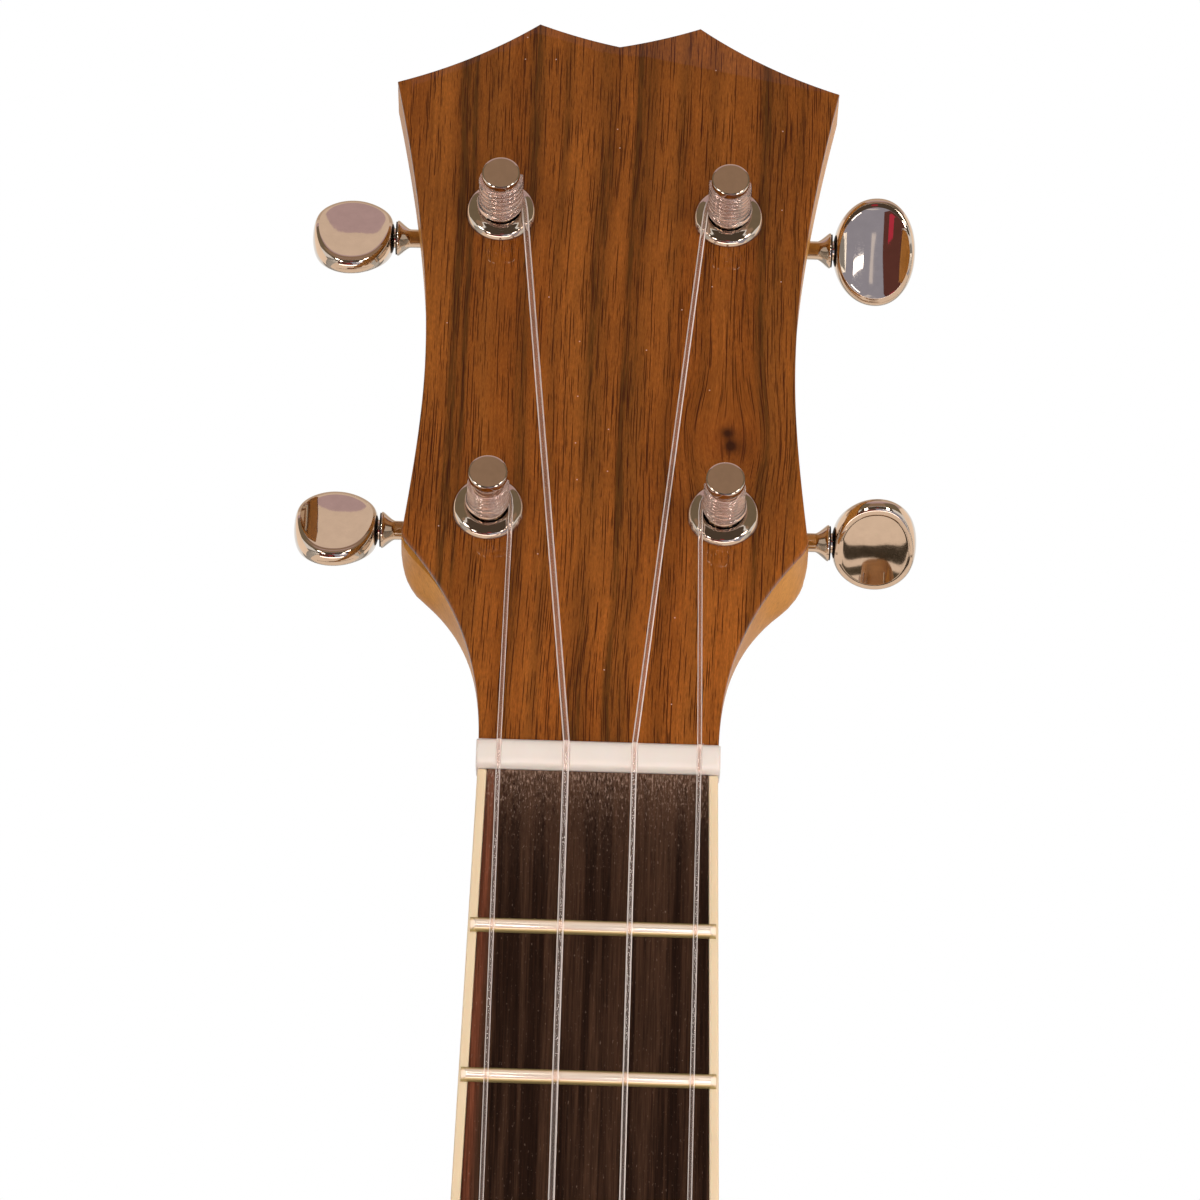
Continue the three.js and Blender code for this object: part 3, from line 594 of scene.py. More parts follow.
def metalFinish(name, tone, gloss, wear):
    # polished plate: faint clouds in the gloss, and hairline rubbing
    finish, shader = newFinish(name, metallic=1.0, specularLevel=0.5)
    q = inMillimetres(finish)
    clouds = noise(q, 0.55, 3.0, 0.6)
    dull = ramp(noise(q, (1.6, 9.6, 9.6)), (0.52, 0.0), (0.75, 1.0)) * wear
    connect(clouds * (gloss * 0.6) + gloss * 0.7 + dull, shader, "Roughness")
    connect(ramp(clouds, (0.3, tuple(0.92 * c for c in tone)), (0.7, tone)), shader)
    return finish


def fretFinish():
    # nickel silver: a painted highlight along the crown, and painted shade in olive where it meets the wood
    finish, shader = newFinish("nickelSilver", metallic=0.5, roughness=0.16)
    tones = [(0.0, (0.40, 0.31, 0.135)), (0.45, (0.70, 0.54, 0.34)), (1.0, (1.0, 0.86, 0.74))]
    connect(ramp(attribute(finish, "crownHighlight"), *tones), shader)
    return finish


def plasticFinish(name, tone, shadeTone, rough, size=0.25):
    finish, shader = newFinish(name, roughness=rough, subsurfaceWeight=0.12, subsurfaceScale=0.002)
    q = inMillimetres(finish)
    clouds = noise(q, (size, size, size * 0.2), 3.0, 0.6)
    connect(mixed(ramp(clouds, (0.35, 0.0), (0.7, 1.0)), tone, shadeTone), shader)
    relief(shader, noise(q, 2.2), 0.06, 0.04)
    return finish


def nylonFinish():
    # clear in the middle, faintly milky there and on the windings, and white at the flanks as a painted
    # highlight, as the strings' own attribute says
    finish, shader = newFinish(
        "clearNylon", ior=1.5, roughness=0.04, specularLevel=0.4, sheenWeight=0.6, sheenRoughness=0.22,
        sheenTint=(1, 0.86, 0.81, 1)
    )
    connect(1.0 - attribute(finish, "milk"), shader, "Transmission Weight")
    cloud = noise(inMillimetres(finish), (1.2, 1.2, 0.12))
    connect(ramp(cloud, (0.3, (0.95, 0.84, 0.80)), (0.7, (0.98, 0.90, 0.87))), shader)
    return finish


def skinFinish():
    # a coated film: near white, faintly mottled, with the fine tooth of its coating
    finish, shader = newFinish("frostedSkin", roughness=0.62, subsurfaceWeight=0.25, subsurfaceScale=0.003)
    q = inMillimetres(finish)
    mottle = ramp(noise(q, 0.03, 3.0, 0.6), (0.35, 0.0), (0.7, 1.0))
    connect(mixed(mottle, (0.83, 0.81, 0.76), (0.77, 0.74, 0.68)), shader)
    relief(shader, noise(q, 3.2, 2.0, 0.7), 0.18, 0.08)
    return finish


def rimFinish():
    # rings of ply show on the edges, and long grain runs round the wall
    finish, shader = newFinish(
        "rimMaple", roughness=0.4, specularLevel=0.2, coatWeight=0.7, coatRoughness=0.09
    )
    x, y, z = parts(inMillimetres(finish, (0, 0, -potFrame.translation.z)))
    radius = (x * x + z * z).math("POWER", 0.5)
    wall = joined(x.math("ARCTAN2", z) * 99.0, y, radius)
    broad = noise(wall, (0.018, 0.35, 0.4), 4.0, 0.6, 0.3)
    fine = noise(wall, (0.12, 3.0, 3.0), 3.0, 0.6)
    base = mixed(ramp(broad, (0.36, 0.0), (0.66, 1.0)), (0.50, 0.235, 0.075), (0.36, 0.145, 0.042))
    ply = (radius * 0.5).math("FRACT")
    line = ramp(ply, (0.0, 1.0), (0.09, 0.0), (0.91, 0.0), (1.0, 1.0))
    base = mixed(line * 0.55, base, (0.16, 0.06, 0.02))
    connect(shaded(base, fine, (0.3, 0.85), (0.7, 1.1)), shader)
    relief(shader, fine, 0.05, 0.05)
    return finish


walnut = walnutFinish()
neckMaple = mapleFinish("lacqueredMaple", 2)
bridgeMaple = mapleFinish("bridgeMaple", 0, (0.60, 0.37, 0.17), (0.50, 0.28, 0.11))
rimMaple = rimFinish()
rosewood = rosewoodFinish()
ebony = mapleFinish("bridgeEbony", 0, (0.020, 0.015, 0.013), (0.010, 0.008, 0.007))
cream = plasticFinish("creamBinding", (0.705, 0.560, 0.385), (0.67, 0.52, 0.345), 0.36)
bone = plasticFinish("nutBone", (0.705, 0.635, 0.595), (0.690, 0.612, 0.568), 0.36)
black = plasticFinish("washerPlastic", (0.012, 0.011, 0.011), (0.02, 0.018, 0.017), 0.45)
pearl = plasticFinish("pearlDots", (0.80, 0.78, 0.74), (0.62, 0.64, 0.66), 0.18, 0.8)
fretMetal = fretFinish()
chrome = metalFinish("tunerChrome", (0.63, 0.54, 0.455), 0.035, 0.04)
plate = metalFinish("potNickel", (0.68, 0.62, 0.54), 0.09, 0.10)
nylon = nylonFinish()
film = skinFinish()
print("finishes made")


# Headstock and neck

neckForm = {
    # down the neck: half width, back, and how square the sides are
    "shaft": [(0, 18, 17.4, 0.85), (110, 20.75, 18.4, 0.85), (205, 23.1, 20, 0.85), (225, 23.6, 22, 0.9),
              (238, 23.9, 26.5, 1.0), (248, 24.2, 33, 1.15), (256, 24.4, 40.5, 1.3), (263, 24.6, 48, 1.4),
              (270, 24.7, 53, 1.45), (284, 25, 56, 1.5)],
    "front": 5.5,
    "ringPoints": 72,
    "slabFrom": 38,  # past the shoulders the headstock is a flat slab, joined to the loft below
    "loftTo": 46,
    "backRise": 0.027,
    "merge": 5,  # the neck's back and the head's run into one another over this depth
    "square": (0.85, 0.06),  # powers of the section's sides and back: round at the nut, boxy at the head
    "deep": (0.9, 0.06),
    "squareOver": (1, 36),
    "underVeneer": 1.06,
    "shy": 0.03,  # the loft stays this much inside the slab
}


def headSide(bulge):
    # one side of the headstock from the nut to the notch at its tip, and the shoulder's place in it:
    # bulge 0 is the outline of the face, 1 that of the core's back
    def mix(a, b):
        return a + (b - a) * bulge

    hip = (mix(30.3, 28.2), mix(35.6, 30.4))
    shoulder = (mix(31.1, 31.5), 38.8)
    curves = [
        ([(18.05, 0), (18.05, 14), (21.5, 24.5), hip], 26),
        ([hip, (mix(31.7, 31.2), mix(37.2, 33.4)), shoulder], 8),
        ([shoulder, (30.2, 47), (29, 58), (29, 68)], 14),
        ([(29, 68), (29, 86), (31.9, 104), (35.7, 122.1)], 22),
        ([(35.7, 122.1), (23.4, 126.4), (13.05, 134.4)], 12),
        ([(13.05, 134.4), (6.7, 131.8), (0, 130.3)], 8),
    ]
    side = []
    for controls, steps in curves:
        side += bezier(controls, steps)[1 if side else 0:]
    return side, curves[0][1] + curves[1][1]


def headOutline(bulge, above=0.0):
    side, shoulder = headSide(bulge)
    if above:
        side = [(outlineHalf(above, bulge), above)] + side[shoulder:]
    return side + [(-x, z) for x, z in reversed(side[:-1])]


def outlineHalf(along, bulge):
    side, _ = headSide(bulge)
    if along <= 0:
        return side[0][0]
    for (x0, z0), (x1, z1) in zip(side, side[1:]):
        if z0 <= along <= z1:
            return x0 + (x1 - x0) * (along - z0) / (z1 - z0)
    return side[-1][0]


def between(rows, at):
    # smooth values between the rows of a table, without overshoot
    steps = [(b[0] - a[0]) for a, b in zip(rows, rows[1:])]
    i = max(k for k, row in enumerate(rows[:-1]) if row[0] <= at or k == 0)
    share = min(1.0, (at - rows[i][0]) / steps[i])
    found = []
    for column in range(1, len(rows[0])):
        slopes = [(b[column] - a[column]) / s for (a, b), s in zip(zip(rows, rows[1:]), steps)]

        def slopeAt(k):
            if k in (0, len(rows) - 1):
                return slopes[min(k, len(slopes) - 1)]
            before, after = slopes[k - 1], slopes[k]
            return 0.0 if before * after <= 0 else 2 * before * after / (before + after)

        a, b = rows[i][column], rows[i + 1][column]
        first, second = slopeAt(i) * steps[i], slopeAt(i + 1) * steps[i]
        t2, t3 = share ** 2, share ** 3
        found.append(
            a * (2 * t3 - 3 * t2 + 1) + first * (t3 - 2 * t2 + share)
            + b * (3 * t2 - 2 * t3) + second * (t3 - t2)
        )
    return found


def evenly(path, count):
    # the same path as a row of evenly spaced points
    lengths = [0.0]
    for a, b in zip(path, path[1:]):
        lengths.append(lengths[-1] + math.dist(a, b))
    spaced, k = [], 0
    for i in range(count):
        want = lengths[-1] * i / (count - 1)
        while k < len(path) - 2 and lengths[k + 1] < want:
            k += 1
        share = (want - lengths[k]) / max(lengths[k + 1] - lengths[k], 1e-9)
        spaced.append(tuple(a + (b - a) * share for a, b in zip(path[k], path[k + 1])))
    return spaced


def neckRing(z):
    # one section of the neck, from the front edge of one side round the back to the other
    half, front, deep = None, neckForm["front"], neckForm["deep"][0]
    headFace = head["faceDepth"] + (z - head["start"]) * math.tan(tilt)
    if z <= 0:
        half, back, square = between(neckForm["shaft"], -z)
    else:
        neckBack = neckForm["shaft"][0][2] + neckForm["backRise"] * z
        headBack = headFace + head["thick"] / math.cos(tilt)
        near = max(neckForm["merge"] - abs(neckBack - headBack), 0) / neckForm["merge"]
        back = max(neckBack, headBack) + near * near * neckForm["merge"] / 4
        if z > nutLength:
            front = headFace + neckForm["underVeneer"] / math.cos(tilt)
        boxy = smoothStep(z, *neckForm["squareOver"])
        square, deep = (a + (b - a) * boxy for a, b in (neckForm["square"], neckForm["deep"]))
    shy = neckForm["shy"] if z > neckForm["slabFrom"] - 6 else 0.0
    path, steps = [], 240
    for i in range(steps + 1):
        turn = math.pi * i / steps
        y = front + shy + (back - 2 * shy - front) * abs(math.sin(turn)) ** deep
        reach = half
        if half is None:
            depth = (y - headFace) * math.cos(tilt)
            along = (z - head["start"] + depth * math.sin(tilt)) / math.cos(tilt)
            reach = outlineHalf(along, min(1.0, max(0.0, (depth - 1) / 4))) - shy
        path.append((math.copysign(abs(math.cos(turn)) ** square, math.cos(turn)) * reach, y))
    return [(x, y, z) for x, y in evenly(path, neckForm["ringPoints"])]


def tunerBores(radius, segments):
    bore = rod(radius, -5, 30, segments)
    return [moved(bore, shift(t["side"] * postAcross, 0, t["along"])) for t in tuners]


def makeNeck():
    # sections of the loft, close together at the heel and the head
    heights = [-284 + 2 * i for i in range(40)] + [-204 + 6 * i for i in range(34)]
    heights += [0, 2.3, nutLength - 0.05, nutLength + 0.05]
    heights += [5.5 + 1.25 * i for i in range(32)] + [neckForm["loftTo"]]
    neck = makePiece("neckAndHeadstock", skin([neckRing(z) for z in heights]))
    # depth below the face, bulge of the outline, and how far the edge is rounded in
    levels = [(1.05, 0, 0.04), (2.2, 0.3, 0), (4, 0.8, 0), (6.5, 0.93, 0), (8.75, 1, 0),
              (9.2, 1, 0.12), (9.48, 1, 0.38), (9.6, 1, 0.8)]
    rings = []
    for depth, bulge, inset in levels:
        outline = insetOutline(headOutline(bulge, neckForm["slabFrom"]), inset)
        rings.append([(x, depth, z) for x, z in outline])
    cutWith(neck, [skin(rings)], headFrame, "UNION")
    # the heel is hollowed for the rim, the hoop and the rod
    seats = [rod(pot["rim"] + 0.3, 10, 80, 192), rod(pot["hoopOut"] + 0.5, -5, 16.4, 192)]
    seats.append(moved(rod(3.1, 80, 122, 24), shift(0, pot["rod"], 0) @ towardsZ))
    cutWith(neck, seats, potFrame)
    cutWith(neck, tunerBores(4.7, 48), headFrame)
    dress(neck, neckMaple, "maple", "neck")


def makeVeneer():
    edge = [(0, 0.42), (0.03, 0.25), (0.11, 0.1), (0.24, 0.02), (0.38, 0), (head["veneer"], 0)]
    sheet = makePiece("headstockVeneer", slab(headOutline(0), edge), headFrame)
    cutWith(sheet, tunerBores(4.9, 64), headFrame)
    cutWith(sheet, [block((-40, 40), (-20, 20), (-60, nutLength + 0.02))])
    dress(sheet, walnut, "walnut", "headstock_veneer")


makeNeck()
makeVeneer()
print("neck and headstock made")


# Fretboard, binding, frets and nut

boardForm = {
    "binding": 1.45,
    "joint": 0.015,
    "start": -0.05,
    "dots": [5, 7, 10, 12, 15],
    "pairAt": 12,
    "dotRadius": 2.9,
    "dotApart": 7.5,
    "sideDot": 0.95,
    "sideApart": 3,
    "sideDepth": 1.9,
}


def makeBoard():
    inner = boardForm["binding"] + boardForm["joint"]
    start, end, stations = boardForm["start"], boardEnd - inner, 60
    side = [(halfWidth(end * i / stations) - inner, start - (end + start) * i / stations)
            for i in range(stations + 1)]
    levels = [(0, 0.06), (0.06, 0), (scale["boardThick"], 0)]
    board = makePiece("boundFretboard", slab(mirrored(side), levels))
    dress(board, rosewood, "rosewood", "fretboard")
    inner = boardForm["binding"]
    end = boardEnd - inner
    right = [(halfWidth(end) - inner, -end), (halfWidth(0) - inner, start), (halfWidth(0), start),
             (halfWidth(boardEnd), -boardEnd)]
    left = [(-x, z) for x, z in reversed(right)]
    strip = slab(left[1:] + right + left[:1], [(0, 0), (scale["boardThick"], 0)])
    binding = makePiece("boardBinding", strip)
    bevelled(binding, 0.28)
    dress(binding, cream, "cream_binding", "fretboard_binding")


def makeDots():
    face, edge = [], []
    for number in boardForm["dots"]:
        z = -(fretAt(number) + fretAt(number - 1)) / 2
        paired = (-1, 1) if number == boardForm["pairAt"] else (0,)
        face += [(boardForm["dotApart"] * k, 0, z) for k in paired]
        away = -(halfWidth(-z) + 0.02)
        edge += [(away, boardForm["sideDepth"], z + boardForm["sideApart"] * k) for k in paired]
    disc = rod(boardForm["dotRadius"], -0.02, 0.6, 40, 0.015)
    dress(copiesAt("fretboardDots", disc, scaleFrame, face, pearl), pearl, "white_nut")
    pin = moved(rod(boardForm["sideDot"], -0.02, 0.5, 24, 0.02), towardsX)
    dress(copiesAt("sideDots", pin, scaleFrame, edge, ebony), ebony, "rosewood")


fretForm = {
    "half": 1.1,
    "height": 1.05,
    "crown": 0.9,  # below 1 makes the crown fuller than a half round
    "foot": 0.04,
    "arcs": 14,
    # from the crown down to the foot: distance out, to be stretched, and share of the height
    "bevel": [(0.0, 1.0), (0.10, 0.86), (0.32, 0.58), (0.6, 0.2), (0.66, 0.03)],
    "bevelStretch": 1.2,
    "nominalReach": 18,
    "shortOfEdge": 0.35,
    # the crown's painted highlight fades out between these shares of its half width
    "crownHighlight": (0.36, 0.80),
    "sharp": 38,
}


def fretTree():
    # one crown for each fret, set down the scale and stretched to the board's width
    tree, given = newTree(
        "fretsDownTheScale", ("Source", "Object"), ("Scale Length", "Float"), ("Fret Count", "Int"),
        ("Nut Reach", "Float"), ("Taper", "Float"), ("Nominal Reach", "Float"), ("Place", "Vector")
    )
    number = addNode(tree, "GeometryNodeInputIndex") + 1.0
    octave = addNode(tree, "ShaderNodeMath", {0: 2.0, 1: number / -12.0}, operation="POWER")
    down = (1.0 - octave) * given["Scale Length"]
    at = addNode(tree, "ShaderNodeCombineXYZ", {2: down * -1.0})
    stretch = (given["Nut Reach"] + down * (given["Taper"] * 0.5)) / given["Nominal Reach"]
    size = joined(stretch, 1.0, 1.0)
    points = addNode(tree, "GeometryNodePoints", {0: given["Fret Count"], 1: at})
    return endTree(tree, given, copies(tree, given, points, Scale=size))


def makeFrets():
    # the crown is filed back to a slope at each end
    reach, half, foot, slope = (fretForm[k] for k in ("nominalReach", "half", "foot", "bevel"))
    ends = [(1 - (slope[-1][0] - out) / reach * fretForm["bevelStretch"], high) for out, high in slope]
    rings = []
    for x, high in [(-x, high) for x, high in reversed(ends)] + ends:
        ring = []
        for turn in turns(fretForm["arcs"], math.pi) + [math.pi]:
            rise = fretForm["height"] * min(math.sin(turn) ** fretForm["crown"], high * 1.02)
            ring.append((x * reach, -rise, half * math.cos(turn)))
        rings.append(ring + [(x * reach, foot, -half), (x * reach, foot, half)])
    crown = makePiece("fretCrown", skin(rings), Matrix.Identity(4), fretForm["sharp"])
    # a painted highlight, full along the top of the crown and gone at its flanks, where painted shade takes
    # over
    crownHighlight = crown.data.attributes.new("crownHighlight", "FLOAT", "POINT")
    for k, point in enumerate(crown.data.vertices):
        crownHighlight.data[k].value = 1 - smoothStep(abs(point.co.z) / mm / half, *fretForm["crownHighlight"])
    frets = newObject("fretWires")
    runTree(frets, fretTree(), {
        "Source": crown,
        "Finish": fretMetal,
        "Scale Length": scale["length"] * mm,
        "Fret Count": scale["frets"],
        "Nut Reach": (scale["nutWidth"] / 2 - fretForm["shortOfEdge"]) * mm,
        "Taper": scale["boardTaper"],
        "Nominal Reach": reach * mm,
        "Place": scaleFrame.translation * mm,
    }, fretForm["sharp"])
    nodes = [f"fret_{n:02d}" for n in range(1, scale["frets"] + 1)]
    dress(frets, fretMetal, "nickel_silver", *nodes)


stringForm = {
    "across": [-14.9, -4.8, 5.4, 15.1],
    "thick": [0.7, 1.0, 0.86, 0.7],
    "bridgeSpacing": 10.8,
    "nutTop": -1.3,
    "slotPlay": 0.07,
    "sides": 14,
    "stepsPerTurn": 40,
    "offPost": 0.12,
    "flare": (0.42, 0.16),  # how far the top turn and the top three ride outwards
    # faint milkiness on the windings and in the middle, and a painted highlight at the flanks
    "milk": (0.045, 0.03, 0.90),  # on the windings, and in the middle and at the flanks beyond them
}


def stringAtNut(i):
    return stringForm["nutTop"] + 0.35 - stringForm["thick"][i] * 0.2


def makeNut():
    length, endRound = nutLength - 0.02, 0.45
    top = stringForm["nutTop"]
    profile = [(5.4, 0.0), (2.0, 0.0), (0.2, 0.0), (-0.1, 0.0), (-0.35, 0.10), (-0.75, 0.34),
               (top + 0.22, 0.56), (top, 0.88), (top, 1.6), (top + 0.02, 2.6), (top + 0.1, 3.3),
               (top + 0.22, 3.75), (top + 0.42, 4.1), (top + 0.72, 4.38), (top + 1.2, length), (2.5, length),
               (5.4, length)]
    half = scale["nutWidth"] / 2 + 0.28
    radii = [thick / 2 + stringForm["slotPlay"] for thick in stringForm["thick"]]
    slots = list(zip(stringForm["across"], radii))
    stations = {side * (half - inward) for side in (-1, 1) for inward in (0, 0.07, 0.2, endRound)}
    stations |= {-17 + 1.0 * i for i in range(35)}
    for at, radius in slots:
        stations = {x for x in stations if abs(x - at) > radius + 0.1}
        stations |= {at + (radius + 0.02) * math.sin(math.pi / 2 * k / 6) for k in range(-6, 7)}
        stations |= {at - radius - 0.1, at + radius + 0.1}
    rings = []
    for x in sorted(stations):
        drop, fromEnd = 0.0, half - abs(x)
        if fromEnd < endRound:
            drop = endRound - math.sqrt(max(0, endRound ** 2 - (endRound - fromEnd) ** 2))
        # the slot floor where a string crosses, and no floor elsewhere
        floor = -9.0
        for i, (at, radius) in enumerate(slots):
            if abs(x - at) < radius:
                floor = stringAtNut(i) + math.sqrt(radius ** 2 - (x - at) ** 2)
        squeeze = min(drop, length / 2 - 0.1) * 0.5
        rings.append([(x, max(y + (drop if y < 0.3 else 0), floor), min(max(z, squeeze), length - squeeze))
                      for y, z in profile])
    nut = makePiece("stringNut", skin(rings), scaleFrame, 38)
    dress(nut, bone, "white_nut", "nut")


makeBoard()
makeDots()
makeFrets()
makeNut()
print("fretboard, frets and nut made")


# Tuners, drawn for the right side with the post along Y and the button out along +X

tunerForm = {
    "wheelDepth": 16.4,
    "wormAway": 5.5,
    "teeth": 14,
    "pitchRadius": 3.9,
    "neck": 2.4,  # the post's radius under its windings
    "buttonFrom": 17.4,
    "buttonLength": 13.4,
    "buttonWidth": 17.5,
    "waist": 3.1,  # thickness across the middle of the scooped faces
    "ends": 5.3,  # and at the two ends
    "rim": 0.85,  # how much of the button a face takes up
    "dish": 0.26,
    "scoop": 3.6,  # the power by which the faces rise towards the ends
    "crisp": 0.012,
    "outline": (0.95, 0.93),  # below 1 squares the button's oval, along and across
    "belly": (0.75, 1.15),  # how the side swells, outwards and in thickness
    "egg": 0.055,  # how much wider its far end is
    "lean": 35,
    "housingGap": 0.12,
    "lugHigh": 2.25,
    "lugAt": (-3.4, -8.2),
}
wormLead = 2 * math.pi * tunerForm["pitchRadius"] / tunerForm["teeth"]
wormPlace = shift(0, tunerForm["wheelDepth"], tunerForm["wormAway"])


def onWorm(shape):
    # laid along the button's shaft
    return moved(moved(shape, towardsX), wormPlace)


def postShape():
    neck = tunerForm["neck"]
    profile = raised(-postHeight, (0, 0), (2.66, 0), (2.84, 0.03), (2.95, 0.11), (3.0, 0.26), (3.0, 1.28),
                     (2.95, 1.4), (2.62, 1.72), (2.44, 2.0), (neck, 2.3))
    profile += [(neck, -2.2), (2.46, -1.9), (2.7, -1.5), (2.86, -1.25), (2.9, -1.0), (2.9, 14.7), (2.8, 14.8),
                (2.0, 14.8), (2.0, 18.2), (1.9, 18.3), (0, 18.3)]
    return spun(profile, 72)


def wheelShape():
    # teeth that lean with the worm's thread, each a row of (radius, half width)
    tooth = [(3.15, -0.51), (3.75, -0.33), (4.45, -0.17), (4.45, 0.17), (3.75, 0.33), (3.15, 0.51)]
    pitch = tunerForm["pitchRadius"]
    lean = wormLead / (2 * math.pi * (tunerForm["wormAway"] - pitch)) / pitch
    rings = []
    for y in [-1 + k / 3 for k in range(7)]:
        ring = []
        for middle in turns(tunerForm["teeth"]):
            for radius, half in tooth:
                turn = middle + lean * y + half / radius
                ring.append((radius * math.sin(turn), y + tunerForm["wheelDepth"], radius * math.cos(turn)))
        rings.append(ring)
    return skin(rings)


def wormShape():
    # one thread, its section a row of (radius, half width)
    ends = ((0.7, -0.47), (2.05, -0.13), (2.05, 0.13), (0.7, 0.47))
    steps, reach = 24, 27
    rings = []
    for done in [k / steps for k in range(-reach, reach + 1)]:
        turn = 2 * math.pi * (done + 0.25)
        rings.append([(wormLead * done + dx, r * math.cos(turn), r * math.sin(turn)) for r, dx in ends])
    return skin(rings)


def buttonShape(turn):
    # two scooped faces with crisp rims, and a barrel side that swells between them
    near = tunerForm["buttonFrom"]
    halfU, halfW = tunerForm["buttonLength"] / 2, tunerForm["buttonWidth"] / 2
    waist, ends, rim = tunerForm["waist"] / 2, tunerForm["ends"] / 2, tunerForm["rim"]
    crisp, egg = tunerForm["crisp"], tunerForm["egg"]
    (squareU, squareW), (swell, thin) = tunerForm["outline"], tunerForm["belly"]

    def scoop(along):
        return waist + (ends - waist) * abs(along / rim) ** tunerForm["scoop"]

    steps = [(rim * k / 12, "face", 0) for k in range(12)]
    steps += [(rim - 0.008, "face", 0), (rim, "edge", crisp), (rim + 0.008, "edge", 0.05)]
    steps += [(0, "side", math.pi / 2 * (1 - k / 11)) for k in range(1, 12)]
    levels = [(step, 1) for step in steps] + [(step, -1) for step in reversed(steps[:-1])]
    rings = []
    for (size, kind, value), front in levels:
        ring = []
        for around in turns(96):
            c, s = math.cos(around), math.sin(around)
            edge = scoop(rim * c)
            if kind == "face":
                t = scoop(size * c) - tunerForm["dish"] * (1 - (size / rim) ** 2)
            elif kind == "edge":
                t = edge - value
            else:
                size = rim + crisp + (1 - rim - crisp) * math.cos(value) ** swell
                t = (edge - 0.1) * math.sin(value) ** thin
            u = math.copysign(abs(c) ** squareU, c) * size
            w = math.copysign(abs(s) ** squareW, s) * size * (1 + egg * c - egg * (1 - abs(s)))
            ring.append((near + halfU + u * halfU, front * t, w * halfW))
        rings.append(ring)
    grip = moved(skin(rings, False), turned(tunerForm["lean"] + turn, "X"))
    shaft = [(0, -5.7), (0.85, -5.7), (0.85, 4.55), (1.45, 4.6), (1.5, 4.7)]
    shaft += raised(near, (1.5, -2.5), (1.56, -2.3), (1.78, -1.95), (2.15, -1.5), (2.5, -1.1), (2.74, -0.8),
                    (2.86, -0.6), (2.88, -0.46), (2.84, -0.36), (2.7, -0.3), (1.6, -0.28), (1.6, 2.0),
                    (0, 2.0))
    return moved(together(moved(spun(shaft, 48), towardsX), wormShape(), grip), wormPlace)


def washerShape():
    ring = [(1.7, -0.26), (2.66, -0.26), (2.72, -0.18), (2.66, -0.1), (1.7, -0.1)]
    return onWorm(spun(raised(tunerForm["buttonFrom"], *ring), 40, True))


def ferruleShape():
    # a steep outer edge, a flange that rises gently to its bore, and a rounded lip
    profile = [(3.42, 7.6), (4.4, 7.6), (4.5, 7.4), (4.5, 0.0), (5.5, 0.0), (5.58, -0.05), (5.61, -0.15),
               (5.6, -0.26), (5.54, -0.39), (5.42, -0.58), (5.29, -0.77), (5.16, -0.92), (4.98, -1.03),
               (4.74, -1.10), (4.4, -1.17), (4.05, -1.27), (3.75, -1.36), (3.52, -1.40), (3.36, -1.37),
               (3.24, -1.27), (3.18, -1.1), (3.16, -0.8), (3.16, 0.4), (3.42, 0.8)]
    return spun(profile, 96, True)


def quarter(radius, steps):
    # how far out and how far down a quarter round is, in even turns
    angles = [math.pi / 2 * k / steps for k in range(steps + 1)]
    return [(radius * math.sin(a), radius - radius * math.cos(a)) for a in angles]


def makeHousing(name, where):
    front, back, corner, fillet = head["thick"] + tunerForm["housingGap"], 20.8, 3.0, 2.2
    outline = rounded([(8.6, -6.4), (8.6, 9.4), (-7.0, 9.4), (-7.0, -6.4)], [corner] * 4, 10)
    levels = [(front, 0.25), (front + 0.08, 0.07), (front + 0.28, 0)]
    levels += [(back - fillet + rise, inset) for rise, inset in quarter(fillet, 7)]
    boss = [(0, 0), (3.0, 0), (3.0, 10.0), (2.9, 10.25), (2.6, 10.4), (0, 10.4)]
    high, (lugX, lugZ) = tunerForm["lugHigh"], tunerForm["lugAt"]
    lug = raised(front, (0, 0), (2.9, 0), (3.0, 0.1), (3.0, 1.9), (2.85, 2.15), (2.6, high), (0, high))
    added = [onWorm(spun(boss, 48)), moved(spun(lug, 40), shift(lugX, 0, lugZ))]
    housing = makePiece(name, slab(outline, levels), where, 34)
    cutWith(housing, added, where, "UNION")
    hollows = [rod(4.8, 14.7, 18.5, 32), block((-4.9, 5.2), (13.9, 18.9), (1.6, 8.0)), rod(3.2, 8, 16.4, 32)]
    hollows += [onWorm(rod(1.85, 3, 20, 24)), onWorm(rod(1.1, -6, 0, 24))]
    cutWith(housing, hollows, where)
    return housing


def screwShape():
    # a round head with a cross-shaped slot: rings of (radius, fall)
    rings = []
    for radius, fall in ((0.0, 0.0), (0.35, 0.0), (0.6, 0.0), (0.95, 0.03), (1.3, 0.12), (1.6, 0.32),
                         (1.75, 0.6), (1.75, 0.75)):
        ring = []
        for turn in turns(48):
            x, z = radius * math.cos(turn), radius * math.sin(turn)
            inSlot = min(abs(x), abs(z)) < 0.22 and max(abs(x), abs(z)) < 1.05
            ring.append((x, fall + (0.45 if inSlot else 0), z))
        rings.append(ring)
    return skin(rings, False)


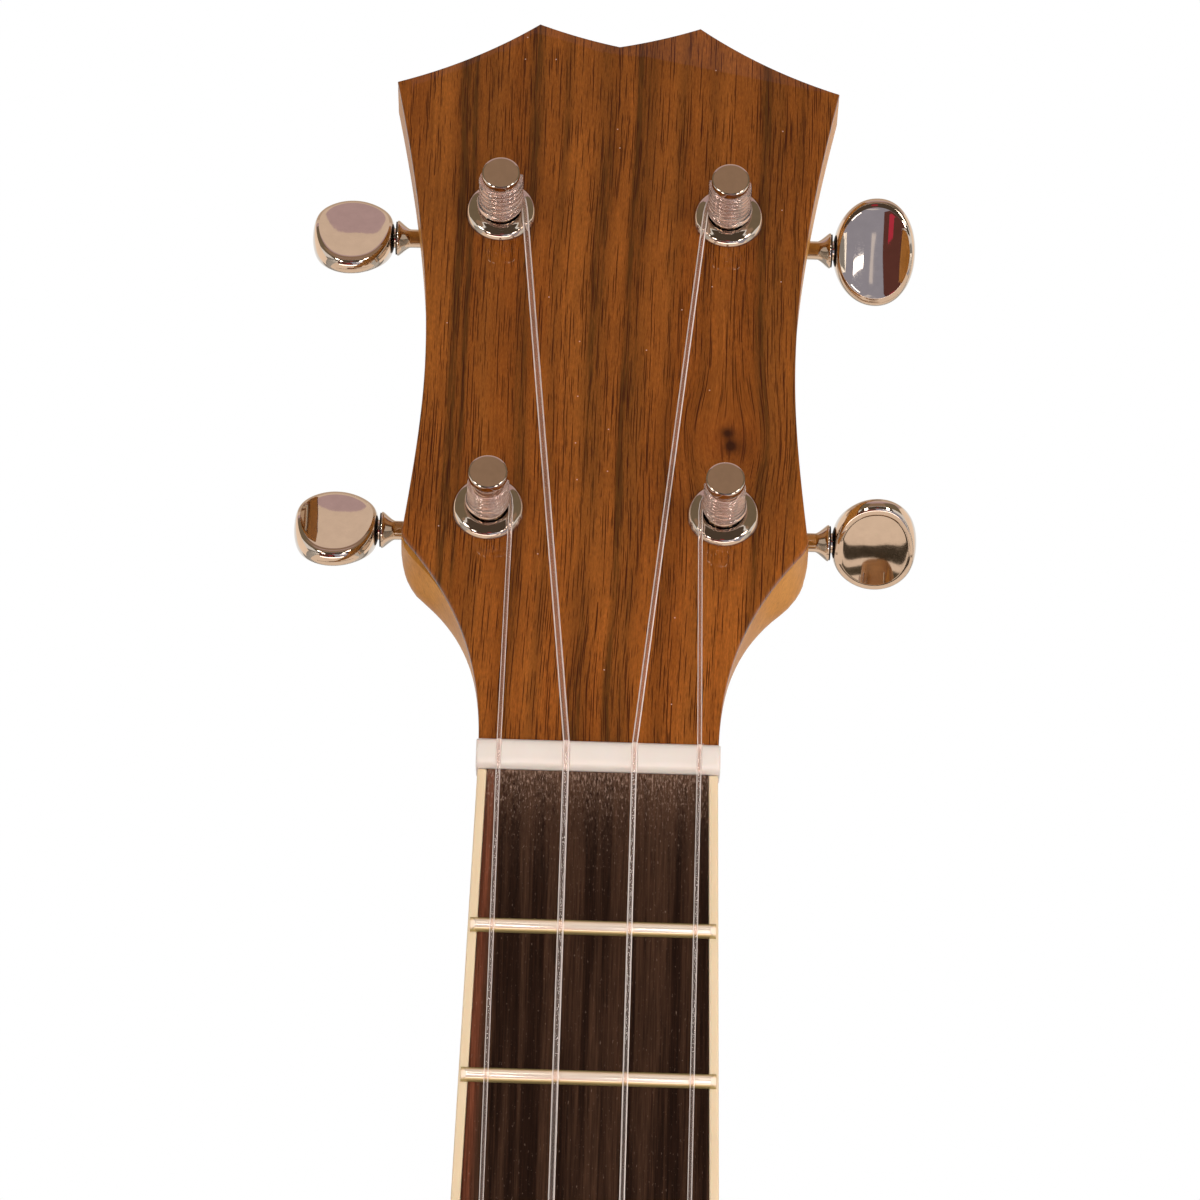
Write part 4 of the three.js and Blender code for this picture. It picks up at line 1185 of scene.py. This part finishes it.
def makeTuners():
    for tuner in tuners:
        body = tuner["body"]
        name = body.title().replace("_", "")
        mirror = Matrix.Diagonal((tuner["side"], 1, 1, 1))
        where = headFrame @ shift(tuner["side"] * postAcross, 0, tuner["along"]) @ mirror
        post = makePiece("tunerPost" + name, postShape(), where, 34)
        hole = moved(rod(0.72, -6, 6, 24), shift(0, -postHeight + 3.3, 0) @ towardsX)
        cutWith(post, [hole], where)
        cutWith(post, [wheelShape()], where, "UNION")
        dress(post, chrome, "chrome", "tuner_post_" + body, body="post_" + body)
        button = makePiece("tunerButton" + name, buttonShape(tuner["turn"]), where, 40)
        dress(button, chrome, "chrome", "tuner_button_" + body, body="button_" + body)
        washer = makePiece("buttonWasher" + name, washerShape(), where, 40)
        dress(washer, black, "chrome", body="button_" + body)
        ferrule = makePiece("tunerFerrule" + name, ferruleShape(), where, 50)
        dress(ferrule, chrome, "chrome", "tuner_ferrule_" + body)
        dress(makeHousing("tunerHousing" + name, where), chrome, "chrome", "tuner_housing_" + body)
    lugX, lugZ = tunerForm["lugAt"]
    lugTop = head["thick"] + tunerForm["housingGap"] + tunerForm["lugHigh"]
    places = [(t["side"] * (postAcross + lugX), lugTop, t["along"] + lugZ) for t in tuners]
    screws = copiesAt("tunerScrews", screwShape(), headFrame, places, chrome, 30)
    dress(screws, chrome, "chrome")


makeTuners()
print("tuners made")


# Strings, each one wound on its post and led over nut and bridge to the tailpiece

plateForm = {"back": -1.2, "thick": 1.5, "holeAlong": 82, "holeIn": 0.97, "half": 9, "halfInside": 19}
bridgeForm = {"high": 12.8, "slot": 0.5, "play": 0.08, "edge": 0.35}
bridgeTop = pot["skin"] - bridgeForm["high"]


def bridgeAcross(i):
    return stringForm["bridgeSpacing"] * (i - 1.5)


def stringPath(tuner):
    i, side = tuner["string"], tuner["side"]
    thick, steps = stringForm["thick"][i], stringForm["stepsPerTurn"]
    count, low, gap = tuner["wound"]
    around = tunerForm["neck"] + stringForm["offPost"] + thick / 2
    centre = Vector((side * postAcross, tuner["along"]))
    towards = Vector((stringForm["across"][i], 0)) - centre
    heading = math.atan2(towards.y, towards.x) + side * math.asin(around / towards.length)
    leaves = heading - side * math.pi / 2
    flareOne, flareThree = stringForm["flare"]
    wound = []
    for done in [k / steps for k in range(count * steps, -1, -1)]:
        turn = leaves - side * 2 * math.pi * done
        reach = around + flareOne * max(0.0, 1 - done) + flareThree * max(0.0, 1 - done / 3)
        height = -(low + (thick + gap) * done)
        wound.append(Vector((centre.x + reach * math.cos(turn), height, centre.y + reach * math.sin(turn))))
    ending = wound[0] + (wound[0] - wound[1]).normalized() * 0.5
    leaving = wound[-1] + (wound[-1] - wound[-2]).normalized() * 0.9
    x, down, across = stringForm["across"][i], stringAtNut(i), bridgeAcross(i)
    nutEdge = Vector((x, down - 0.05, 0.3))
    overBridge = Vector((across, bridgeTop + bridgeForm["slot"] - thick / 2, -scale["length"]))
    overPlate = plateForm["back"] - plateForm["thick"] - 0.5 - thick / 2
    hole = Vector((across * plateForm["holeIn"], overPlate, -potDown - plateForm["holeAlong"] + 1.2))
    rest = [Vector((x, down + 0.1, nutLength - 0.5)), Vector((x, down - 0.02, 2.3))]
    rest += [nutEdge.lerp(overBridge, k / 24) for k in range(25)]
    rest += [overBridge.lerp(hole, k / 4) for k in range(1, 5)]
    through = [(0.25, -0.65), (0.85, -1.1), (2.0, -1.2), (3.0, -1.2), (4.6, -1.2)]
    rest += [hole + Vector((0, y, z)) for y, z in through]
    points = placed([ending] + wound + [leaving], headFrame) + placed(rest, scaleFrame)
    knot = moved(rod(1.2, 3.3, 4.9, 24, 0.5), shift(hole.x, hole.y, hole.z - 1.2))
    return points, thick, knot


def stringTree():
    tree, given = newTree("stringAlongItsPath", ("String Radius", "Float"), ("Sides", "Int"))
    path = addNode(tree, "GeometryNodeMeshToCurve", {0: given["Geometry"]})
    section = {"Resolution": given["Sides"], "Radius": given["String Radius"]}
    ring = addNode(tree, "GeometryNodeCurvePrimitiveCircle", section)
    sweep = {"Curve": path, "Profile Curve": ring, "Fill Caps": True}
    return endTree(tree, given, addNode(tree, "GeometryNodeCurveToMesh", sweep))


def makeStrings():
    tree = stringTree()
    sides = stringForm["sides"]
    onWinding, middle, flank = stringForm["milk"]
    for tuner in tuners:
        points, thick, knot = stringPath(tuner)
        number = tuner["string"] + 1
        string = newObject(f"playingString{number}", points, [(k, k + 1) for k in range(len(points) - 1)])
        runTree(string, tree, {"Finish": nylon, "String Radius": thick / 2 * mm, "Sides": sides}, 60)
        woundPoints = (tuner["wound"][0] * stringForm["stepsPerTurn"] - 12) * sides
        # the windings and the middle are faintly milky, and the flanks that face sideways carry a painted
        # highlight
        milk = string.data.attributes.new("milk", "FLOAT", "POINT")
        for k, point in enumerate(string.data.vertices):
            sideways = smoothStep(abs(point.normal.x), 0.62, 0.80)
            milk.data[k].value = onWinding if k < woundPoints else middle + (flank - middle) * sideways
        string.visible_shadow = False
        dress(makePiece(f"stringKnot{number}", knot), nylon, "clear_nylon")
        dress(string, nylon, "clear_nylon", f"string_{number}")


makeStrings()
print("strings made")


# Pot: rim, skin, hoop, brackets, bridge, tailpiece and rod

rimIn, rimOut = pot["rim"] - pot["wall"], pot["rim"]


def makeRim():
    corners = [(rimIn, pot["front"]), (rimOut, pot["front"]), (rimOut, pot["back"]), (rimIn, pot["back"])]
    profile = rounded(corners, [0.6, 1.6, 1.0, 0.8], 5)
    dress(makePiece("potRim", spun(profile, 192, True), potFrame, 45), rimMaple, "maple", "rim")


def makeSkin():
    collar, front, bend, bead, thick = rimOut + 0.4, pot["skin"], 1.5, 1.5, 0.6
    outer = collar + thick
    profile = [(r, front) for r in (0, 30, 60, 85, 95)]
    profile += [(outer - bend + out, front + down) for out, down in quarter(bend, 8)]
    profile += [(outer, 9.0), (outer, 12.0)]
    profile += [(collar + bead + bead * math.sin(t), 13.5 - bead * math.cos(t))
                for t in turns(10, math.pi) + [math.pi]]
    profile += [(collar, 15.0), (collar, front + 1.9), (collar - 0.9, front + 0.62), (90, front + thick),
                (0, front + thick)]
    drum = makePiece("drumSkin", spun(profile, 192), potFrame, 40)
    dress(drum, film, "frosted_skin", "drum_head")


def makeHoop():
    inner, outer = pot["hoopIn"], pot["hoopOut"]
    groove = (102.8, 106.2)
    corners = [(inner, 2.5), (groove[0], 2.5), (groove[0], 5.2), (groove[1], 5.2), (groove[1], 2.5),
               (outer, 2.5), (outer, 11.7), (inner, 11.7)]
    profile = rounded(corners, [0.6, 0.35, 0.7, 0.7, 0.35, 0.5, 0.8, 0.6], 4)
    hoop = makePiece("tensionHoop", spun(profile, 240, True), potFrame, 45)
    dress(hoop, plate, "chrome", "tension_hoop")


def catmull(points, steps):
    found = [points[0]]
    padded = [points[0]] + list(points) + [points[-1]]
    for a, b, c, d in zip(padded, padded[1:], padded[2:], padded[3:]):
        for k in range(1, steps + 1):
            t = k / steps
            found.append(0.5 * ((2 * b) + (c - a) * t + (2 * a - 5 * b + 4 * c - d) * t * t
                                + (3 * b - a - 3 * c + d) * t ** 3))
    return found


hookForm = {
    "radius": 1.25,
    "path": [(26.5, 109.2), (6.0, 109.2), (3.6, 109.2), (1.25, 108.4), (0.9, 106.7), (1.0, 105.2),
             (2.4, 104.5), (4.8, 104.5)],
}


def hookShape():
    # a bent round wire over the hoop, drawn as rings along its bend
    path = [Vector((0, y, z)) for y, z in hookForm["path"]]
    path = [path[0], path[1]] + catmull(path[1:-1], 5)[1:] + [path[-1]]
    side, last = Vector((1, 0, 0)), len(path) - 1
    rings = []
    for i, p in enumerate(path):
        along = (path[min(i + 1, last)] - path[max(i - 1, 0)]).normalized()
        up = along.cross(side).normalized()
        size = hookForm["radius"] * (0.7 if i == last else 1)
        rings.append([tuple(p + side * size * math.cos(t) + up * size * math.sin(t)) for t in turns(16)])
    return skin(rings)


def bracketShape():
    hook, shoe = pot["hookAt"], pot["shoe"]
    barrel = raised(shoe, (0, -5), (2.9, -5), (3.15, -4.8), (3.2, -4.5), (3.2, -2.2), (2.95, -1.8),
                    (2.95, 1.8), (3.2, 2.2), (3.2, 4.5), (3.15, 4.8), (2.9, 5), (0, 5))
    nutTop, nutEnd = shoe + 5.05, shoe + 15
    nut = hexNut(3.72, [(nutTop, 0.35), (nutTop + 0.25, 0), (nutEnd - 0.5, 0), (nutEnd, 0.5)])
    stub = rod(hookForm["radius"], shoe + 14, shoe + 14.96, 20, 0.2)
    foot = raised(rimOut, (0, 0.08), (4.3, 0.08), (4.5, 0.25), (4.5, 1.0), (4.2, 1.7), (3.3, 2.3), (2.5, 2.9),
                  (2.3, 3.6)) + raised(hook, (2.3, -1.5), (0, -1.5))
    bolt = raised(rimIn, (0, -3.3), (3.4, -3.3), (3.9, -2.8), (4.0, -0.9), (4.0, -0.35), (1.8, -0.35))
    bolt += raised(rimOut, (1.8, 0.1), (0, 0.1))
    washer = raised(rimIn, (0, -0.45), (4.9, -0.45), (5.0, -0.35), (5.0, -0.05), (0, -0.05))
    upright = moved(together(spun(barrel, 32), nut, stub), shift(0, 0, hook))
    level = moved(together(spun(foot, 32), spun(bolt, 6), spun(washer, 32)), shift(0, shoe, 0) @ towardsZ)
    return together(hookShape(), upright, level)


def ringTree():
    # copies of one source set evenly round an axis, half a step from its top
    tree, given = newTree(
        "copiesRoundTheRim", ("Source", "Object"), ("Count", "Int"), ("Step", "Float"), ("Place", "Vector")
    )
    turn = (addNode(tree, "GeometryNodeInputIndex") + 0.5) * given["Step"]
    points = addNode(tree, "GeometryNodePoints", {0: given["Count"]})
    around = addNode(tree, "ShaderNodeCombineXYZ", {1: turn})
    return endTree(tree, given, copies(tree, given, points, Rotation=around))


def makeBrackets():
    brackets = newObject("hookBrackets")
    runTree(brackets, ringTree(), {
        "Source": makePiece("bracketSource", bracketShape(), Matrix.Identity(4), 34),
        "Finish": plate,
        "Count": pot["hooks"],
        "Step": 2 * math.pi / pot["hooks"],
        "Place": potFrame.translation * mm,
    }, 34)
    nodes = [f"bracket_{n:02d}" for n in range(1, pot["hooks"] + 1)]
    dress(brackets, plate, "chrome", *nodes)


def makeBridge():
    foot, top, slot = pot["skin"] - 0.03, bridgeTop, bridgeForm["slot"]
    right = [(20.5, top + 1.3)] + bezier([(21.5, top + 2.2), (25.5, foot - 6), (27, foot - 2.4)], 10)
    right += [(27, foot)] + bezier([(17, foot), (15.5, foot - 5.4), (9, foot - 6)], 10)
    height = foot - top

    def wedge(points):
        # thinner towards the top
        return skin([[(x, y, side * (3.4 - 2.1 * (foot - y) / height) - scale["length"]) for x, y in points]
                     for side in (-1, 1)])

    body = makePiece("bridgeBody", wedge(mirrored(right)))
    bevelled(body, bridgeForm["edge"], 3, 35)
    dress(body, bridgeMaple, "maple", "bridge")
    cap = makePiece("bridgeCap", wedge(mirrored([(20.5, top + 1.3), (20.5, top + slot), (20, top)])))
    grooves = []
    for i, thick in enumerate(stringForm["thick"]):
        x, y, z = bridgeAcross(i), top + slot - thick / 2, -scale["length"]
        half = thick / 2 + bridgeForm["play"]
        grooves.append(moved(rod(half, -6, 6, 20), shift(x, y, z) @ towardsZ))
        grooves.append(block((x - half, x + half), (top - 2, y), (z - 6, z + 6)))
    cutWith(cap, grooves)
    dress(cap, ebony, "rosewood")


def makeTailpiece():
    # a plate bent over the hoop and down the rim's tail end
    spine = [(46, 99.8), (19, 99.8), (15.5, 103.6), (12, 107.7), (2, 107.7), (-0.6, 105.6), (-1.2, 100),
             (-1.2, 78), (0.6, 75.4)]
    bent = rounded(spine, [0, 5, 2, 4, 3, 3, 4, 2, 0], 6)
    narrow, wide, thick = plateForm["half"], plateForm["halfInside"], plateForm["thick"]
    rings = []
    for i, (y, r) in enumerate(bent):
        along = (Vector(bent[min(i + 1, len(bent) - 1)]) - Vector(bent[max(i - 1, 0)])).normalized()
        outY, outR = y + along.y * thick, r - along.x * thick
        half = narrow + (wide - narrow) * (1 - smoothStep(r, 92, 108)) if y < 3 else narrow
        rings.append([(-half, y, -r), (half, y, -r), (half, outY, -outR), (-half, outY, -outR)])
    tail = makePiece("stringTailpiece", skin(rings), potFrame, 30)
    hole = rod(0.95, -10, 3, 24)
    holes = [moved(hole, shift(bridgeAcross(i) * plateForm["holeIn"], 0, -plateForm["holeAlong"]))
             for i in range(4)]
    holes.append(moved(rod(3.2, -20, 20, 24), shift(0, pot["rod"], -100) @ towardsZ))
    cutWith(tail, holes, potFrame)
    bevelled(tail, 0.25, 2, 40)
    dress(tail, plate, "chrome", "tailpiece")


def makeRod():
    def nut(radius, low, high):
        return hexNut(radius, [(low, 0.6), (low + 0.5, 0), (high - 0.5, 0), (high, 0.6)])

    whole = together(
        rod(4.2, -rimIn + 3, rimIn - 6, 48, 0.3), rod(2.8, rimIn - 7, rimIn + 30, 24, 0.3),
        nut(7.2, rimIn - 6.2, rimIn - 0.9), rod(8.2, rimIn - 0.9, rimIn - 0.1, 40, 0.15),
        rod(2.8, -rimOut - 6, -rimIn + 4, 24, 0.3), nut(6, -rimOut - 5.8, -rimOut - 2.2),
        nut(7.2, -rimIn + 0.9, -rimIn + 4), rod(8.2, -rimIn + 0.1, -rimIn + 0.9, 40, 0.15)
    )
    bar = makePiece("coordinatorRod", whole, potFrame @ shift(0, pot["rod"], 0) @ towardsZ, 34)
    dress(bar, plate, "chrome", "coordinator_rod")


makeRim()
makeSkin()
makeHoop()
makeBrackets()
makeBridge()
makeTailpiece()
makeRod()
print("pot made")


# Stage, lamps and camera

studio = {
    "floorSize": 9.0,
    "floorTone": (0.86, 0.85, 0.83),
    "fade": (0.45, 1.2),  # distances between which the floor turns white to the camera
    "worldFill": 0.34,
    "aim": (0, 0, 0.03),
    # name, place, width and height, power and tone
    "lamps": [
        ("softboxLeft", (-1.35, -1.45, -0.12), (1.0, 1.5), 15.2, (1, 0.96, 0.91)),
        ("softboxRight", (1.45, -1.20, -0.02), (1.0, 1.5), 19.6, (1, 0.95, 0.89)),
        ("lowFill", (0.1, -1.25, -0.42), (1.3, 0.25), 7, (1, 0.95, 0.89)),
        ("backLamp", (0.6, 1.7, 0.9), (1.2, 1.2), 16, (1, 0.98, 0.95)),
    ],
    # what polished metal sees of the room: name, turn and rise in degrees from straight ahead, distance,
    # width and height, roll in degrees, and tone
    "cards": [
        ("ceilingAhead", 0, 45, 1.5, (1.5, 0.86), 0, (0.38, 0.255, 0.175)),
        ("ceilingLeft", -56, 42, 1.5, (1.45, 1.2), 0, (0.23, 0.18, 0.12)),
        ("ceilingRight", 56, 42, 1.5, (1.45, 1.2), 0, (0.23, 0.18, 0.12)),
        ("paleStripe", 9, -26, 0.56, (0.012, 0.08), 0, (0.85, 0.82, 0.86)),
        ("tableStrip", 0, -53, 0.55, (0.9, 0.07), 0, (4.2, 3.6, 3.4)),
        ("roomAhead", 0, 7, 2.1, (3.6, 1.5), 0, (0.10, 0.075, 0.055)),
        ("tableAhead", 0, -38, 0.64, (1.1, 0.55), 0, (0.15, 0.055, 0.045)),
        ("paleWall", 28, -30, 0.60, (0.74, 0.44), 0, (0.41, 0.42, 0.53)),
        ("paleSpot", 26, -23.2, 0.57, (0.19, 0.020), 13, (6, 6, 6)),
        ("redStripe", -10, -32, 0.58, (0.10, 0.07), 0, (0.62, 0.05, 0.09)),
        ("wallLeft", -112, 8, 1.8, (1.8, 2.4), 0, (1.18, 0.96, 0.78)),
        ("wallRight", 112, 8, 1.8, (1.8, 2.4), 0, (1.18, 0.96, 0.78)),
        ("redCloth", 1, 3, 1.8, (0.16, 0.30), 0, (0.42, 0.04, 0.06)),
        ("lampHighLeft", -29, 14, 1.8, (0.25, 0.28), 0, (14, 12.9, 12)),
        ("lampLowLeft", -24, -6, 1.7, (0.22, 0.26), 0, (14, 12.9, 12)),
        ("lampHighRight", 29, 14, 1.8, (0.25, 0.28), 0, (14, 12.9, 12)),
        ("lampLowRight", 25, -6, 1.7, (0.22, 0.26), 0, (14, 12.9, 12)),
    ],
    # level sheets with bowed edges: name, height, near and far edge, bow, half width, middle and tone
    "sheets": [
        ("ceilingOver", 1.48, (-1.0, -0.03), 0.45, 2.0, 0, (0.62, 0.455, 0.48)),
        ("ceilingBehind", 1.50, (-0.6, 0.24), 0.45, 2.4, 0, (0.90, 0.72, 0.59)),
        ("ceilingFar", 1.52, (-0.4, 1.7), 0.0, 2.2, 0, (0.66, 0.50, 0.38)),
        ("tableTop", -0.5, (-0.62, 0.8), 0.0, 0.8, 0, (1.02, 0.82, 0.66)),
        ("darkBoard", -0.49, (0.063, 0.084), 0.82, 0.5, 0.042, (0.06, 0.045, 0.03)),
        ("darkEdge", -0.49, (0.034, 0.050), 0.82, 0.5, 0.042, (0.09, 0.07, 0.045)),
    ],
}


def facing(at, aim):
    return Matrix.Translation(at) @ (Vector(aim) - Vector(at)).to_track_quat("-Z", "Y").to_matrix().to_4x4()


def floorFinish():
    # far from the object the floor is as white as what lies behind it, to the camera alone
    finish, shader = newFinish(
        "floorPaint", baseColor=(*studio["floorTone"], 1), roughness=0.9, specularLevel=0.1
    )
    tree = finish.node_tree
    place = addNode(tree, "ShaderNodeTexCoord", outs=("Object",))
    away = addNode(tree, "ShaderNodeVectorMath", {0: place}, ("Value",), operation="LENGTH")
    near, far = studio["fade"]
    reach = {"Value": away, "From Min": near, "From Max": far}
    fade = addNode(tree, "ShaderNodeMapRange", reach, interpolation_type="SMOOTHSTEP")
    seen = addNode(tree, "ShaderNodeLightPath", outs=("Is Camera Ray",))
    white = addNode(tree, "ShaderNodeEmission", {"Color": (1, 1, 1, 1)})
    both = addNode(tree, "ShaderNodeMixShader", {0: fade * seen, 1: Field(tree, shader.outputs[0]), 2: white})
    tree.links.new(both.socket, tree.nodes["Material Output"].inputs[0])
    return finish


def glowFinish(name, tone):
    finish = bpy.data.materials.new(name)
    finish.use_nodes = True
    tree = finish.node_tree
    tree.nodes.clear()
    glow = addNode(tree, "ShaderNodeEmission", {"Color": (*tone, 1)})
    tree.links.new(glow.socket, tree.nodes.new("ShaderNodeOutputMaterial").inputs[0])
    return finish


def stageSheet(name, shape, finish, onlyShine=True):
    # the glowing sheets show in polish and through nylon alone
    sheet = newObject(name, shape[0], faces=shape[1])
    sheet.data.materials.append(finish)
    if onlyShine:
        sheet.visible_camera = False
        sheet.visible_diffuse = False
        sheet.visible_shadow = False


def rectangle(size, where):
    x, y = size[0] / 2, size[1] / 2
    return [where @ Vector(c) for c in ((-x, -y, 0), (x, -y, 0), (x, y, 0), (-x, y, 0))], [(0, 1, 2, 3)]


def bowed(height, edges, bow, half, middle):
    points, steps = [], 24
    for x in [half * (2 * k / steps - 1) for k in range(steps + 1)]:
        points += [(x + middle, y + bow * x * x, height) for y in edges]
    return points, [(2 * k, 2 * k + 2, 2 * k + 3, 2 * k + 1) for k in range(steps)]


def makeStage():
    ground = shift(0, 0, cadLow.z - 0.0004)
    stageSheet("floor", rectangle((studio["floorSize"],) * 2, ground), floorFinish(), False)
    for name, turn, rise, distance, size, roll, tone in studio["cards"]:
        turn, rise = math.radians(turn), math.radians(rise)
        away = Vector((math.sin(turn) * math.cos(rise), -math.cos(turn) * math.cos(rise), math.sin(rise)))
        where = facing(Vector(studio["aim"]) + away * distance, studio["aim"]) @ turned(roll, "Z")
        stageSheet(name, rectangle(size, where), glowFinish(name, tone))
    for name, *shape, tone in studio["sheets"]:
        stageSheet(name, bowed(*shape), glowFinish(name, tone))
    for name, at, size, power, tone in studio["lamps"]:
        light = bpy.data.lights.new(name, "AREA")
        light.shape = "RECTANGLE"
        light.size, light.size_y = size
        light.energy = power
        light.color = tone
        lamp = bpy.data.objects.new(name, light)
        lamp.matrix_world = facing(at, studio["aim"])
        lamp.visible_camera = False
        lamp.visible_glossy = False
        lamp.visible_transmission = False
        bpy.context.scene.collection.objects.link(lamp)


def makeWorld():
    # white wherever it is seen, directly, in metal or through nylon, and a softer fill as light
    world = bpy.data.worlds.new("studioWorld")
    world.use_nodes = True
    bpy.context.scene.world = world
    tree = world.node_tree
    tree.nodes.clear()
    rays = ("Is Camera Ray", "Is Glossy Ray", "Is Transmission Ray")
    camera, glossy, through = addNode(tree, "ShaderNodeLightPath", None, rays)
    seen = camera.math("MAXIMUM", glossy).math("MAXIMUM", through)
    fill = {"Color": (1, 0.97, 0.94, 1), "Strength": studio["worldFill"]}
    fill = addNode(tree, "ShaderNodeBackground", fill)
    white = addNode(tree, "ShaderNodeBackground", {"Color": (1, 1, 1, 1), "Strength": 1.0})
    both = addNode(tree, "ShaderNodeMixShader", {0: seen, 1: fill, 2: white})
    tree.links.new(both.socket, tree.nodes.new("ShaderNodeOutputWorld").inputs[0])


lens = {
    "at": (0.001126, -0.787300, -0.219520),
    "right": (0.99955508, -0.00632837, 0.02914774),
    "up": (-0.02976315, -0.27543676, 0.96085834),
    "ahead": (-0.00194769, 0.96129836, 0.27550257),
    "focal": 160.42,
    "sensor": 36,
}


def makeCamera():
    camera = bpy.data.cameras.new("photoCamera")
    camera.sensor_width = lens["sensor"]
    camera.lens = lens["focal"]
    camera.clip_start, camera.clip_end = 0.01, 50
    holder = bpy.data.objects.new("photoCamera", camera)
    bpy.context.scene.collection.objects.link(holder)
    right, up, ahead = (Vector(lens[k]) for k in ("right", "up", "ahead"))
    turn = Matrix((right, up, -ahead)).transposed()
    holder.matrix_world = Matrix.Translation(lens["at"]) @ turn.to_4x4()
    bpy.context.scene.camera = holder


makeStage()
makeWorld()
makeCamera()
bpy.context.scene.view_settings.view_transform = "Standard"
print("stage, lamps and camera made")
